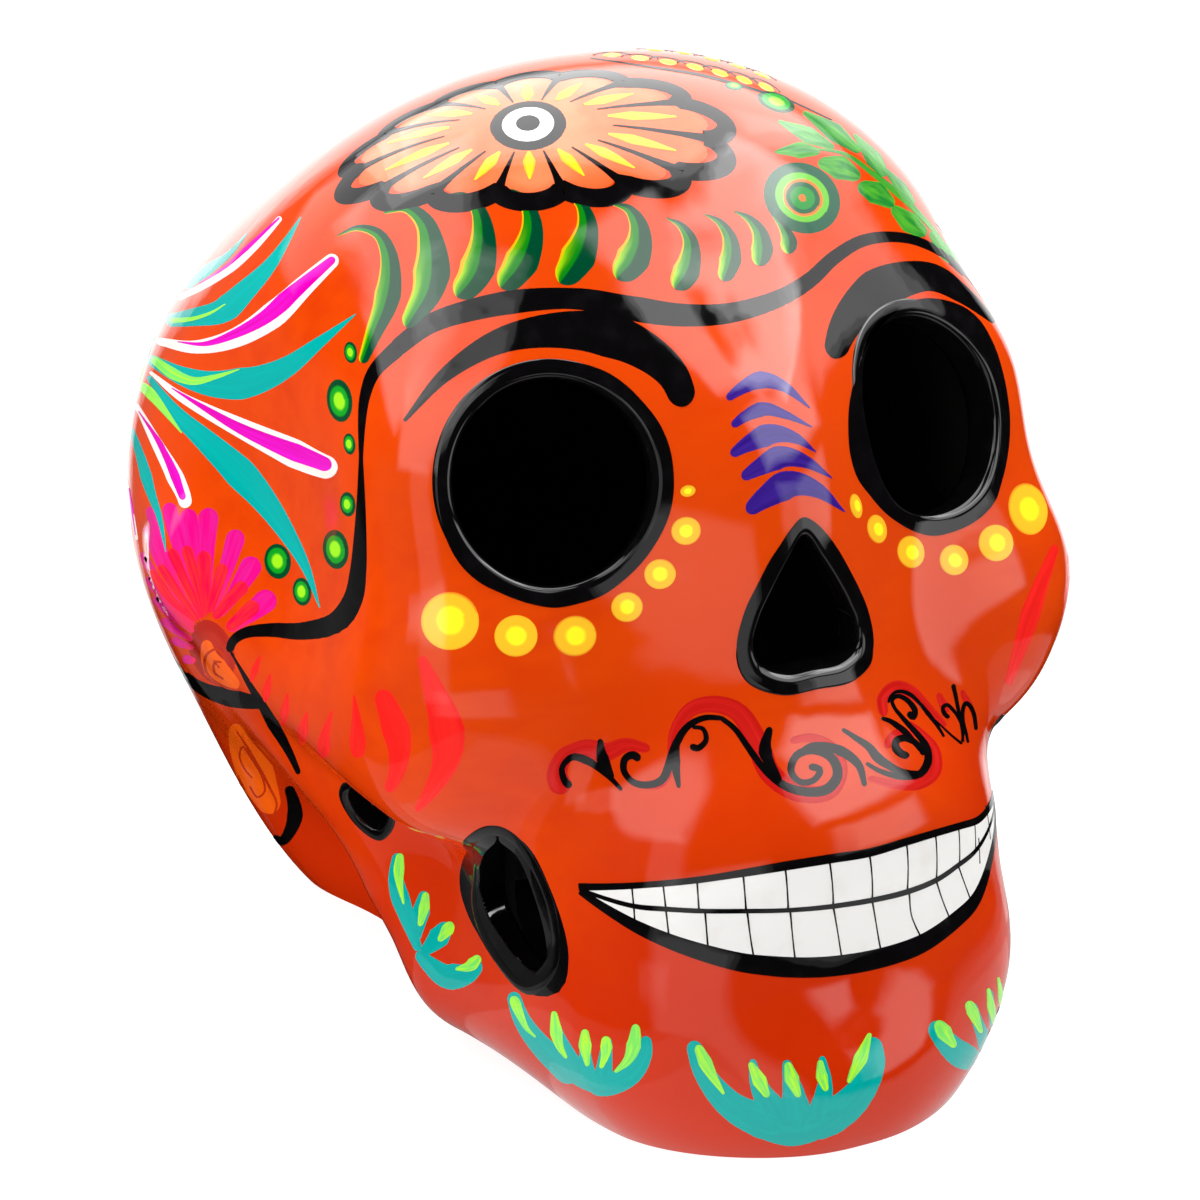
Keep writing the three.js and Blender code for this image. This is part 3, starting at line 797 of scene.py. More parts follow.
print("black strokes:", len(brow_strokes) + 1 + 2 * len(side_lines))

# %% Painted hems
HEMS = {
    "eye_right": [(545, 359), (580, 363), (605, 371), (625, 384), (645, 404), (660, 424), (670, 448),
                  (674, 475), (673, 500), (667, 522), (655, 545), (640, 565), (622, 582), (602, 596),
                  (578, 604), (555, 608), (530, 604), (505, 595), (480, 583), (462, 567), (449, 546),
                  (441, 522), (437, 495), (437, 470), (441, 446), (448, 425), (460, 407), (478, 391),
                  (500, 377), (522, 365)],
    "eye_left": [(926, 298), (950, 301), (968, 309), (980, 320), (992, 340), (1001, 365), (1007, 392),
                 (1010, 420), (1009, 445), (1006, 465), (1001, 485), (996, 500), (985, 514), (968, 526),
                 (950, 533), (935, 536), (918, 533), (900, 524), (884, 512), (870, 496), (857, 478),
                 (850, 455), (848, 430), (849, 405), (854, 380), (861, 357), (869, 342), (880, 328),
                 (895, 312), (910, 302)],
    "nose": [(803, 517), (790, 530), (780, 545), (770, 560), (757, 585), (745, 610), (737, 640), (737, 655),
             (742, 670), (752, 680), (766, 689), (790, 694), (820, 688), (843, 684), (856, 679), (866, 667),
             (873, 650), (873, 633), (868, 610), (860, 590), (850, 570), (840, 552), (828, 535),
             (815, 522)],
}


HEM_GAP, HEM_LIFT, HEM_ANGLES = 0.1, 0.2, 181


def hem(name, outer_pixels, mirror_side=False):
    """The painted band round a hole: from just outside its wall to an edge seen in the photograph. Both edges
    are read off at even angles round the middle of the hole, then joined straight across."""
    inner = hole_rings(name, [EDGE_SHARE * HOLES[name][6] + HEM_GAP], [0.0])[0]
    if mirror_side:
        inner = inner * [-1, 1, 1]
    seat = inner.mean(axis=0)
    out = outward(drop(seat[None]))[0]
    across = np.cross([0, 0, 1], out)
    across /= np.linalg.norm(across)
    up = np.cross(out, across)
    angle = np.linspace(0, 2 * np.pi, HEM_ANGLES)
    edges = []
    for curve in (inner, smooth(see(outer_pixels), FINE_STEPS, True)):
        flat = np.stack([(curve - seat) @ across, (curve - seat) @ up], axis=-1)
        turn = np.arctan2(flat[:, 1], flat[:, 0])
        order = np.argsort(turn)
        edges.append(np.stack([np.interp(angle, turn[order], column[order], period=2 * np.pi)
                               for column in curve.T], axis=-1))
    return panel(*edges, HEM_LIFT)


hems = [hem("eye_rim", HEMS["eye_right"], True), hem("eye_rim", HEMS["eye_left"]),
        hem("nose_rim", HEMS["nose"])]
gather("painted_hems", hems, "black_enamel")
print("painted hems:", len(HEMS))

# %% [markdown]
# ## Leaf strokes over the brow
# Ten curved leaves come from one move of a flat brush loaded with two greens. The brush is laid down at the
# tip, pressed through the belly and lifted at the foot, so each leaf is dark on one side and lime on the
# other.

# %% Leaves, target ring and branch
LEAVES = [
    ([(337, 236), (358, 228), (378, 234), (388, 252), (390, 278), (385, 305), (374, 332), (362, 363)],
     [1, 6, 15, 23, 26, 26, 19, 9]),
    ([(384, 213), (406, 208), (424, 222), (431, 245), (432, 268), (427, 292), (415, 313), (406, 327)],
     [2, 10, 23, 33, 37, 35, 27, 15]),
    ([(446, 195), (464, 196), (478, 210), (483, 232), (481, 255), (473, 277), (457, 297)],
     [1, 8, 24, 32, 35, 33, 22]),
    ([(499, 189), (516, 194), (528, 208), (532, 228), (527, 250), (516, 270), (501, 288)],
     [1, 8, 23, 32, 34, 34, 22]),
    ([(568, 195), (581, 205), (587, 225), (583, 245), (574, 264), (560, 283)], [4, 16, 29, 35, 34, 21]),
    ([(611, 204), (628, 209), (638, 224), (639, 242), (632, 260), (617, 279)], [1, 9, 24, 31, 34, 22]),
    ([(666, 218), (681, 226), (690, 241), (690, 258), (685, 274), (675, 289)], [1, 9, 21, 27, 27, 19]),
    ([(704, 214), (719, 222), (729, 237), (731, 253), (728, 268), (723, 281)], [1, 8, 18, 22, 22, 14]),
    ([(734, 211), (749, 219), (759, 232), (762, 248), (759, 266)], [1, 8, 18, 22, 15]),
    ([(773, 216), (782, 226), (788, 239), (789, 254)], [2, 12, 17, 12]),
]
BRANCH_LEAVES = [
    ([(778, 121), (802, 132), (834, 148)], [3, 17, 5]), ([(803, 112), (830, 129), (860, 152)], [4, 19, 6]),
    ([(775, 152), (797, 150), (820, 152)], [3, 17, 6]), ([(818, 162), (838, 167), (860, 178)], [9, 25, 9]),
    ([(858, 185), (876, 193), (894, 206)], [11, 23, 9]), ([(892, 207), (908, 221), (926, 235)], [8, 21, 10]),
    ([(854, 134), (870, 154), (886, 176)], [3, 17, 8]), ([(930, 232), (942, 248), (956, 264)], [5, 15, 8]),
    ([(884, 168), (900, 186), (914, 204)], [3, 12, 5]),
]
BRANCH_STEM = ([(818, 149), (845, 154), (872, 173), (903, 198), (930, 226), (948, 250)], [2, 5, 6, 7, 6, 3])
leaf_strokes = [stroke(*row, tint=index / 10, along=44, across=11) for index, row in enumerate(LEAVES)]
gather("brow_leaves", leaf_strokes, "leaf_green")
lay("leaf_branch", BRANCH_LEAVES + [BRANCH_STEM], "branch_green", along=24)
gather("green_target", [dab((802, 198), (42, 36), 32, rings=16, spokes=64)], "target_green")
GREEN_DOTS = [((350.6, 352.4), (7, 11.6)), ((339.6, 400.6), (13.6, 23)), ((349.4, 444), (6.4, 11.4)),
              ((347.7, 504.3), (8.3, 13.1)), ((335.7, 549.4), (13.7, 21.1)), ((277.7, 561.4), (14.3, 18.9)),
              ((302, 591.7), (10, 15.1))]
gather("temple_dots", [dab(*row, turn=-7) for row in GREEN_DOTS], "dot_green", both_sides=True)
gather("crown_dots", [dab((734, 86), (10, 4.5), 8), dab((776, 102), (21, 10), 20)], "dot_green")

# %% [markdown]
# ## Yellow dots under the eyes
# These are pressed on with the round end of the brush: first the amber ring, then a smaller lemon dot into
# the wet paint. They stand a little proud of the strokes, so they are laid on thicker.

# %% Dots round the eyes
EYE_DOTS = [
    ((450, 621), (30, 30)), ((516, 636), (22.5, 21.5)), ((575, 636), (22.5, 21)),
    ((627, 607), (16.5, 15.5)), ((660, 574), (16.5, 15.5)), ((686, 531), (15.5, 14.5)),
    ((688, 491), (8, 6)), ((1028, 509), (20, 27)), ((996, 543), (18, 19)), ((954, 560), (15, 16)),
    ((911, 552), (14, 17)), ((877, 529), (10, 15)), ((856, 506), (6, 13)),
]
gather("eye_dots", [dab(*row, turn=-12, lift=0.28) for row in EYE_DOTS], "dot_yellow")

# %% [markdown]
# ## Nose strokes, cheek blades and scrolls
# Five violet strokes step down the bridge of the nose. The cheek blades are thin red glaze through which the
# orange shows, so their material lets some of the light through. The moustache is a chain of black scrolls
# over wider red ones.

# %% Violet strokes on the nose
NOSE_STROKES = [
    ([(727, 399), (742, 388), (761, 380), (783, 386), (810, 408)], [7, 15, 18, 12, 1]),
    ([(732, 426), (746, 416), (764, 409), (786, 415), (812, 427)], [7, 13, 15, 9, 1]),
    ([(731, 455), (748, 444), (772, 434), (795, 438), (816, 452)], [8, 19, 23, 13, 1]),
    ([(742, 478), (760, 467), (782, 457), (806, 462), (832, 478)], [9, 20, 24, 15, 1]),
    ([(747, 512), (766, 497), (791, 484), (817, 490), (845, 512)], [12, 26, 30, 19, 1]),
]
lay("nose_strokes", NOSE_STROKES, "violet", along=40)

# %% Red glaze on the cheeks
CHEEK_BLADES = [
    ([(260, 656), (255, 669), (251, 682)], [2, 8, 3]), ([(270, 674), (267, 689), (265, 702)], [2, 9, 4]),
    ([(288, 693), (285, 710), (283, 726)], [2, 10, 4]), ([(307, 712), (303, 729), (302, 745)], [2, 12, 5]),
    ([(332, 711), (325, 735), (323, 758)], [2, 14, 10]), ([(354, 695), (357, 726), (358, 758)], [2, 17, 12]),
    ([(380, 690), (391, 716), (399, 744), (397, 770), (388, 792)], [16, 24, 29, 24, 10]),
    ([(421, 656), (434, 691), (446, 726), (446, 760), (430, 792), (416, 811)], [8, 34, 38, 34, 26, 6]),
]
FAR_BLADE = ([(1056, 545), (1036, 598), (1021, 645), (1008, 685)], [8, 18, 20, 8])
GLAZE_LIFT = 0.05
blades = [stroke(*row, lift=GLAZE_LIFT, along=30) for row in CHEEK_BLADES]
blades += other_side(blades[:-1]) + [stroke(*FAR_BLADE, lift=GLAZE_LIFT, along=40)]
gather("cheek_blades", blades, "red_glaze")
print("cheek blades:", len(blades))

# %% Scrolls of the moustache
SCROLLS = [
    ([(571, 787), (565, 781), (562, 768), (572, 757), (588, 761), (606, 774), (622, 790)],
     [7, 5, 5, 6, 6, 7, 3]),
    ([(600, 739), (602, 756), (613, 778)], [4, 11, 3]),
    ([(640, 760), (633, 755), (625, 759), (624, 771), (633, 782), (648, 785), (662, 780), (669, 766),
      (675, 746), (687, 727), (704, 718), (722, 718)], [7, 5, 5, 5, 6, 7, 7, 8, 8, 7, 5, 4]),
    ([(678, 734), (675, 760), (679, 788)], [3, 9, 3]),
    ([(690, 746), (698, 748), (706, 740), (703, 729), (692, 727)], [6, 5, 4, 4, 3]),
    ([(720, 717), (735, 729), (748, 747), (765, 770), (785, 786), (807, 792), (828, 789), (838, 774),
      (831, 757), (812, 750), (796, 756), (791, 771), (800, 782), (814, 780), (820, 770), (809, 766)],
     [4, 6, 7, 7, 8, 9, 9, 8, 7, 6, 5, 5, 5, 6, 6, 6]),
    ([(770, 727), (765, 751), (781, 781)], [5, 12, 3]),
    ([(792, 759), (812, 746), (838, 750), (858, 764), (865, 786)], [3, 7, 9, 9, 4]),
    ([(842, 729), (856, 738), (869, 747), (877, 757), (888, 765), (900, 771), (921, 774)],
     [3, 8, 6, 5, 5, 4, 5]),
    ([(866, 763), (878, 770), (892, 775), (906, 777), (920, 774), (928, 762), (927, 748), (919, 736),
      (910, 726), (901, 716), (894, 707), (892, 700), (897, 696), (904, 698), (911, 704), (915, 711),
      (913, 717), (908, 712)], [3, 4, 5, 5, 6, 7, 7, 5, 4, 4, 4, 4, 4, 3, 3, 3, 4, 6]),
    ([(881, 718), (890, 721), (899, 727), (907, 734), (914, 742), (921, 751)], [3, 6, 6, 5, 4, 3]),
    ([(924, 755), (918, 745), (911, 740), (903, 738), (896, 741), (896, 748), (902, 754), (909, 756)],
     [4, 4, 4, 4, 5, 6, 7, 6]),
    ([(888, 703), (890, 697), (896, 692), (904, 692), (912, 696), (920, 704), (930, 716), (938, 727),
      (944, 737)], [2, 3, 4, 3, 3, 3, 4, 4, 2]),
    ([(918, 704), (928, 714), (940, 725), (952, 736), (962, 744)], [1, 2, 2, 2, 2]),
    ([(962, 742), (963, 731), (959, 719), (953, 710), (947, 705), (943, 707), (944, 713), (949, 718)],
     [2, 2, 2, 2, 2, 2, 3, 4]),
    ([(953, 684), (956, 698), (959, 714), (962, 730), (963, 742)], [4, 4, 3, 2, 2]),
    ([(968, 743), (966, 733), (963, 721), (963, 709), (966, 703), (970, 706), (974, 715), (976, 730)],
     [2, 2, 2, 2, 2, 2, 4, 3]),
]
HALOS = [
    ([(566, 793), (557, 776), (565, 756), (585, 748), (606, 752), (626, 745), (650, 749)],
     [24, 26, 18, 16, 17, 22, 10]),
    ([(640, 786), (661, 784), (671, 765), (675, 733), (690, 710), (713, 704), (738, 712), (756, 740),
      (771, 774), (800, 793), (830, 791), (841, 770), (832, 748), (812, 738), (790, 741)],
     [6, 12, 16, 18, 18, 20, 22, 22, 22, 24, 26, 22, 20, 16, 8]),
    ([(884, 716), (883, 698), (895, 688), (911, 692), (928, 708), (946, 726)], [10, 16, 17, 14, 12, 6]),
    ([(868, 778), (895, 784), (918, 783), (934, 770), (934, 750), (922, 734), (908, 722)],
     [6, 14, 17, 17, 14, 12, 6]),
    ([(886, 748), (892, 738), (904, 734), (914, 738)], [8, 13, 12, 8]),
    ([(938, 693), (942, 702), (948, 712)], [6, 11, 8]), ([(962, 690), (965, 698), (972, 706)], [5, 8, 5]),
]
lay("scroll_halos", HALOS, "red_halo", lift=0.04, along=110, across=5)
lay("scrolls", SCROLLS, "black_enamel", widen=1.25, lift=0.11, along=80, across=5)
print("scroll strokes:", len(SCROLLS))

# %% [markdown]
# ## Tufts on the jaw
# Turquoise tufts grow along the jaw from one loaded brush, and each petal carries a lime touch at its tip.

# %% Tufts
TUFT_PETALS = [
    ([(692, 1041), (704, 1073), (732, 1106), (782, 1130)], [14, 29, 34, 30]),
    ([(752, 1059), (758, 1084), (780, 1122)], [6, 29, 24]),
    ([(786, 1060), (792, 1086), (799, 1128)], [8, 32, 28]),
    ([(822, 1056), (825, 1084), (818, 1122)], [6, 25, 24]),
    ([(872, 1037), (874, 1064), (852, 1102), (804, 1131)], [16, 28, 36, 30]),
    ([(740, 1112), (770, 1128), (805, 1130), (842, 1112)], [20, 30, 30, 20]),
    ([(932, 1022), (944, 1039), (960, 1054), (980, 1062)], [16, 24, 27, 22]),
    ([(972, 1003), (977, 1020), (983, 1036), (988, 1055)], [8, 13, 14, 16]),
    ([(990, 990), (992, 1010), (995, 1030), (994, 1052)], [5, 9, 10, 12]),
    ([(1000, 982), (1002, 1000), (1001, 1025), (997, 1048)], [3, 6, 7, 8]),
    ([(512, 992), (522, 1020), (541, 1046), (578, 1080)], [13, 21, 26, 24]),
    ([(554, 1012), (558, 1033), (567, 1055), (578, 1078)], [5, 17, 20, 16]),
    ([(585, 1029), (585, 1045), (586, 1065), (590, 1082)], [6, 16, 17, 18]),
    ([(607, 1037), (606, 1052), (604, 1070), (602, 1085)], [9, 15, 19, 20]),
    ([(646, 1036), (645, 1055), (632, 1075), (608, 1084), (588, 1080)], [10, 13, 21, 26, 24]),
    ([(572, 1076), (598, 1084), (628, 1076)], [14, 20, 16]),
]
TUFT_TOUCHES = [
    ([(697, 1045), (709, 1070), (724, 1094)], [8, 14, 3]),
    ([(750, 1062), (759, 1080), (768, 1097)], [5, 15, 6]),
    ([(787, 1062), (792, 1080), (799, 1097)], [7, 15, 6]),
    ([(820, 1060), (822, 1076), (826, 1091)], [5, 12, 6]),
    ([(870, 1033), (861, 1058), (848, 1083)], [4, 14, 4]),
    ([(936, 1021), (945, 1034), (955, 1047)], [9, 17, 6]),
    ([(968, 1001), (974, 1015), (981, 1033)], [8, 12, 4]),
    ([(988, 988), (991, 1006), (994, 1027)], [3, 8, 3]),
    ([(998, 977), (1000, 990), (1002, 1015)], [2, 5, 2]),
    ([(513, 996), (520, 1014), (527, 1028), (536, 1037)], [9, 11, 9, 2]),
    ([(554, 1011), (556, 1030), (560, 1046), (567, 1058)], [5, 13, 12, 3]),
    ([(585, 1029), (585, 1045), (588, 1066)], [6, 13, 4]),
    ([(606, 1036), (606, 1052), (601, 1068)], [8, 12, 4]),
    ([(636, 1024), (634, 1045), (628, 1060), (615, 1072)], [7, 15, 13, 3]),
]
SIDE_PETALS = [
    ([(398, 853), (396, 880), (406, 915), (419, 951)], [10, 19, 18, 8]),
    ([(425, 891), (421, 912), (417, 940)], [9, 18, 6]), ([(449, 923), (438, 938), (422, 954)], [12, 22, 8]),
    ([(480, 961), (466, 974), (446, 976), (430, 965), (417, 952)], [14, 24, 26, 22, 10]),
]
SIDE_TOUCHES = [
    ([(400, 853), (399, 877), (404, 904)], [7, 11, 2]), ([(426, 892), (424, 909), (420, 926)], [6, 11, 5]),
    ([(452, 922), (446, 932), (439, 941)], [8, 13, 5]), ([(480, 956), (470, 966), (456, 969)], [7, 13, 3]),
]
lay("jaw_tufts", TUFT_PETALS, "turquoise", along=30)
lay("jaw_touches", TUFT_TOUCHES, "lime_touch", lift=0.13, along=24)
lay("side_tufts", SIDE_PETALS, "turquoise", True, along=30)
lay("side_touches", SIDE_TOUCHES, "lime_touch", True, lift=0.13, along=24)
print("petals on the jaw:", len(TUFT_PETALS) + 2 * len(SIDE_PETALS))

# %% [markdown]
# ## The spray on the temple
# Long blades fan out over the temple from one point behind it. White blades go on first and magenta is laid
# over them, and turquoise blades with a lime touch lie between. Both temples carry the same spray.

# %% Spray blades
SPRAY_WHITE = [
    ([(157, 341), (195, 347), (235, 338), (273, 315), (305, 285), (337, 256)], [7, 18, 22, 25, 26, 13]),
    ([(178, 299), (205, 285), (233, 266), (257, 244), (281, 217)], [5, 8, 9, 9, 5]),
    ([(150, 372), (177, 394), (205, 410), (245, 430), (285, 449), (315, 463), (337, 471)],
     [3, 14, 20, 24, 26, 28, 21]),
    ([(136, 404), (155, 440), (172, 471), (184, 497), (186, 508)], [4, 14, 17, 17, 12]),
    ([(127, 478), (131, 505), (137, 540)], [1, 3, 2]),
]
SPRAY_MAGENTA = [
    ([(178, 342), (205, 344), (235, 334), (266, 317), (297, 290), (335, 258)], [1, 7, 13, 16, 18, 8]),
    ([(200, 284), (225, 268), (251, 245), (280, 218)], [1, 5, 5, 2]),
    ([(172, 388), (205, 408), (240, 428), (280, 446), (310, 458), (332, 467)], [1, 9, 14, 17, 19, 14]),
    ([(139, 411), (158, 440), (173, 470), (184, 500)], [1, 8, 10, 7]),
    ([(129, 488), (132, 508), (136, 535)], [1, 2, 1]),
]
SPRAY_TURQUOISE = [
    ([(166, 321), (195, 317), (222, 311), (246, 290), (270, 265), (287, 240), (301, 217)],
     [12, 26, 22, 12, 7, 5, 1]),
    ([(186, 288), (206, 271), (228, 255), (247, 234)], [6, 11, 9, 1]),
    ([(148, 358), (180, 375), (213, 384), (250, 382), (285, 368), (320, 342), (356, 314)],
     [10, 24, 28, 32, 28, 15, 1]),
    ([(148, 376), (175, 412), (205, 440), (235, 468), (263, 499), (288, 535), (306, 568), (320, 608)],
     [5, 24, 30, 32, 28, 24, 17, 1]),
    ([(131, 428), (140, 455), (150, 490), (160, 520), (166, 552)], [5, 12, 12, 8, 1]),
]
SPRAY_LIME = [
    ([(170, 321), (192, 319), (211, 313), (226, 304)], [6, 6, 5, 1]),
    ([(152, 358), (174, 374), (194, 381), (215, 377), (240, 369)], [8, 12, 9, 5, 1]),
    ([(140, 384), (152, 395), (165, 411), (182, 433)], [8, 11, 9, 1]),
]
WHITE_LIFT, LIME_LIFT, MAGENTA_LIFT = 0.1, 0.12, 0.15
lay("spray_turquoise", SPRAY_TURQUOISE, "turquoise", True, along=50)
lay("spray_lime", SPRAY_LIME, "lime_touch", True, lift=LIME_LIFT, along=30)
lay("spray_white", SPRAY_WHITE, "pale_white", True, lift=WHITE_LIFT, along=50)
lay("spray_magenta", SPRAY_MAGENTA, "magenta", True, lift=MAGENTA_LIFT, along=50)

# %% Daisy and swirl behind the temple
DAISY_PETALS = [
    ([(194, 622), (162, 587), (141, 553)], [5, 9, 8]), ([(194, 626), (166, 602), (147, 577)], [5, 9, 8]),
    ([(194, 632), (171, 615), (154, 597)], [5, 9, 8]), ([(193, 640), (176, 631), (162, 619)], [5, 9, 9]),
    ([(194, 648), (182, 644), (172, 639)], [5, 9, 9]), ([(196, 660), (189, 660), (183, 657)], [6, 9, 8]),
    ([(193, 620), (164, 570), (146, 526)], [6, 11, 9]), ([(195, 620), (165, 560), (149, 507)], [6, 12, 9]),
    ([(200, 618), (183, 560), (168, 503)], [7, 16, 14]), ([(204, 616), (196, 562), (187, 509)], [8, 18, 17]),
    ([(207, 612), (206, 560), (209, 508)], [9, 20, 19]), ([(212, 612), (226, 570), (238, 530)], [9, 19, 20]),
    ([(218, 616), (238, 588), (256, 558)], [9, 20, 24]), ([(228, 630), (252, 612), (274, 594)], [10, 24, 26]),
]
INNER_PETALS = [
    ([(196, 620), (170, 598), (151, 570)], [5, 9, 7]), ([(199, 620), (178, 592), (160, 565)], [5, 9, 8]),
    ([(203, 618), (186, 582), (171, 549)], [5, 11, 10]), ([(205, 616), (196, 580), (186, 546)], [6, 12, 13]),
    ([(207, 614), (205, 580), (204, 551)], [8, 15, 14]), ([(210, 612), (217, 588), (224, 564)], [7, 14, 14]),
    ([(214, 618), (230, 600), (246, 583)], [8, 15, 16]), ([(227, 629), (243, 616), (258, 603)], [9, 18, 18]),
]
lay("daisy_petals", DAISY_PETALS, "petal_pink", True, along=30)
lay("daisy_inner", INNER_PETALS, "petal_red", True, lift=0.12, along=30)
SWIRL_FILLS = [([(206, 640), (209, 655), (218, 670), (238, 688)], [10, 22, 26, 10]),
               ([(234, 724), (241, 746), (252, 768), (264, 792), (274, 813)], [12, 20, 32, 38, 18])]
SWIRL_LINES = [
    ([(226, 658), (217, 649), (206, 656), (208, 674), (226, 687), (240, 690)], [2, 4, 4, 4, 4, 2]),
    ([(222, 662), (215, 662), (215, 672), (224, 679)], [2, 3, 3, 2]),
    ([(253, 778), (246, 770), (240, 756), (243, 746), (252, 758), (262, 775), (265, 791), (258, 797),
      (250, 786)], [2, 3, 3, 3, 3, 3, 3, 3, 2]),
    ([(237, 731), (246, 744), (258, 765), (270, 787), (277, 804), (273, 817)], [2, 3, 3, 3, 4, 2]),
]
gather("swirl_disc", [dab((212, 652), (24, 38), -22, lift=0.05)], "maroon", both_sides=True)
lay("swirl_fills", SWIRL_FILLS, "spiral_orange", True, lift=0.08, along=40, across=9)
lay("swirl_lines", SWIRL_LINES, "swirl_dark", True, lift=0.12, along=60, across=5)
print("petals on one daisy:", len(DAISY_PETALS) + len(INNER_PETALS))

# %% [markdown]
# ## The crown
# On top lies one wide rosette in the face's own colours: a pale orange field inside a thick lobed black line,
# a white ring with a black heart, and small scallops with yellow dots towards the back. It is drawn in polar
# steps round a place on the crown, stretched from side to side, and each point is then dropped onto the clay.

# %% Rosette
ROSETTE_SEAT = see([[528, 124]])[0]
ROSETTE_TURN = np.radians(-27)
ROSETTE_OUT = outward(ROSETTE_SEAT[None])[0]
ROSETTE_ACROSS = np.cross([-np.sin(ROSETTE_TURN), np.cos(ROSETTE_TURN), 0], ROSETTE_OUT)
ROSETTE_ACROSS /= np.linalg.norm(ROSETTE_ACROSS)
ROSETTE_BACK = np.cross(ROSETTE_OUT, ROSETTE_ACROSS)
PETALS, STRETCH = 14, 2.2


def around(seat, across, back, radius, angle):
    """Points at polar steps round a seat on the clay, in millimetres and radians, dropped onto it."""
    radius, angle = np.broadcast_arrays(np.asarray(radius, float), np.asarray(angle, float))
    flat = (np.cos(angle) * radius)[..., None] * across + (np.sin(angle) * radius)[..., None] * back
    return drop(seat + flat, 8)


def on_crown(radius, angle):
    return around(ROSETTE_SEAT, ROSETTE_ACROSS * STRETCH, ROSETTE_BACK, radius, angle)


def spot(centre, radius, lift, rings=8, spokes=36):
    """A round dab about a point on the clay, with its radius in millimetres."""
    out = outward(centre[None])[0]
    across = np.cross([0, 1, 0], out)
    across /= np.linalg.norm(across)
    share = np.linspace(0, 1, rings + 1)[1:]
    angle = np.linspace(0, 2 * np.pi, spokes, endpoint=False)
    rim = around(centre, across, np.cross(out, across), radius * share[:, None], angle)
    return dab_on(np.concatenate([rim.reshape(-1, 3), centre[None]]), share, spokes, lift)


whole_turn = np.linspace(0, 2 * np.pi, 361)
steps = np.hypot(np.sin(whole_turn) * STRETCH, np.cos(whole_turn))
travelled = np.concatenate([[0], np.cumsum((steps[1:] + steps[:-1]) / 2)])
lobe_share = travelled / travelled[-1] * PETALS
lobed = 13.2 + 2.6 * np.abs(np.sin(np.pi * lobe_share)) ** 0.6
cusp_angles = np.interp(np.arange(PETALS), lobe_share, whole_turn)
petal_angles = np.interp(np.arange(PETALS) + 0.5, lobe_share, whole_turn)
FIELD_SPOKES, FIELD_RINGS = 180, 14
field_share = np.linspace(0, 1, FIELD_RINGS + 1)[1:]
field_angle = np.linspace(0, 2 * np.pi, FIELD_SPOKES, endpoint=False)
field_edge = np.interp(field_angle, whole_turn, lobed)
field = np.concatenate([on_crown(field_edge * field_share[:, None], field_angle).reshape(-1, 3),
                        ROSETTE_SEAT[None]])
gather("rosette_field", [dab_on(field, field_share, FIELD_SPOKES, 0.06)], "rosette_orange")
petal_veins = [line(on_crown(np.linspace(6.0, 11.5, 18), angle), [0.5, 2.2, 1.6, 0.3], 0.12)
               for angle in petal_angles]
rosette_lines = [line(on_crown(lobed, whole_turn), [3.4], 0.14)]
rosette_lines += [line(on_crown(np.linspace(6.0, 13.4, 20), angle), [0.3, 0.8, 1.2, 2.0], 0.12, across=5)
                  for angle in cusp_angles]
rosette_lines += [spot(ROSETTE_SEAT, 6.6, 0.16), spot(ROSETTE_SEAT, 2.4, 0.32)]
gather("rosette_ring", [spot(ROSETTE_SEAT, 4.9, 0.24)], "ring_white")
SCALLOPS = [(612, 55), (640, 58), (668, 62), (695, 67), (720, 73), (744, 80), (766, 87),
            (655, 50), (684, 53), (712, 59), (738, 66), (762, 75)]
SCALLOP_LINE = ([(590, 58), (650, 67), (700, 75), (745, 87), (790, 101), (832, 120)], [1, 3, 3, 3, 3, 1])
scallop_dots, scallop_lines = [], [stroke(*SCALLOP_LINE, lift=0.1)]
for middle in drop(see(SCALLOPS)):
    scallop_dots.append(spot(middle, 1.5, 0.2, rings=5, spokes=24))
    bow = np.linspace(-1.4, 1.4, 21)
    path = around(middle, ROSETTE_ACROSS, ROSETTE_BACK, 2.9, np.pi / 2 + bow)
    scallop_lines.append(line(path, [0.3, 0.6, 0.3], 0.1, across=5))
gather("rosette_veins", petal_veins, "dot_yellow")
gather("rosette_lines", rosette_lines + scallop_lines, "black_enamel")
gather("scallop_dots", scallop_dots, "dot_yellow")
print("rosette petals:", PETALS, "scallops:", len(scallop_dots))

# %% [markdown]
# ## The back, as a guess
# The photograph doesn't show the back, so it repeats what the sides carry. The line of the nape runs on round
# it with a row of green dots above, and each spray fans out backwards as it does forwards. A place is sent to
# the other half of a fan by reflecting it in the upright plane through the fan's foot, and it is then dropped
# on the clay again.

# %% Back of the head
FAN_FOOT = drop(np.array([[-60.0, 41.0, 98.0]]))[0]
BACK_HALF_WIDTH, BACK_MIDDLE, BACK_REACH, BACK_ROUNDS = 72, 8, 82, 10


def fan_back(pixels, widths, lift):
    """A blade of the spray, reflected to the back of the head."""
    places = see(brush_grid(pixels, widths, 50, 7))
    sideways = np.cross([0, 0, 1], outward(FAN_FOOT[None])[0])
    sideways /= np.linalg.norm(sideways)
    reflected = places - 2 * ((places - FAN_FOOT) @ sideways)[..., None] * sideways
    return ribbon(drop(reflected, BACK_ROUNDS), lift)


def round_back(angle, height):
    """Places round the back of the head, by their angle from straight back and their height in mm."""
    y = BACK_MIDDLE + BACK_REACH * np.cos(angle)
    return drop(np.stack([BACK_HALF_WIDTH * np.sin(angle), y, height], axis=1), BACK_ROUNDS)


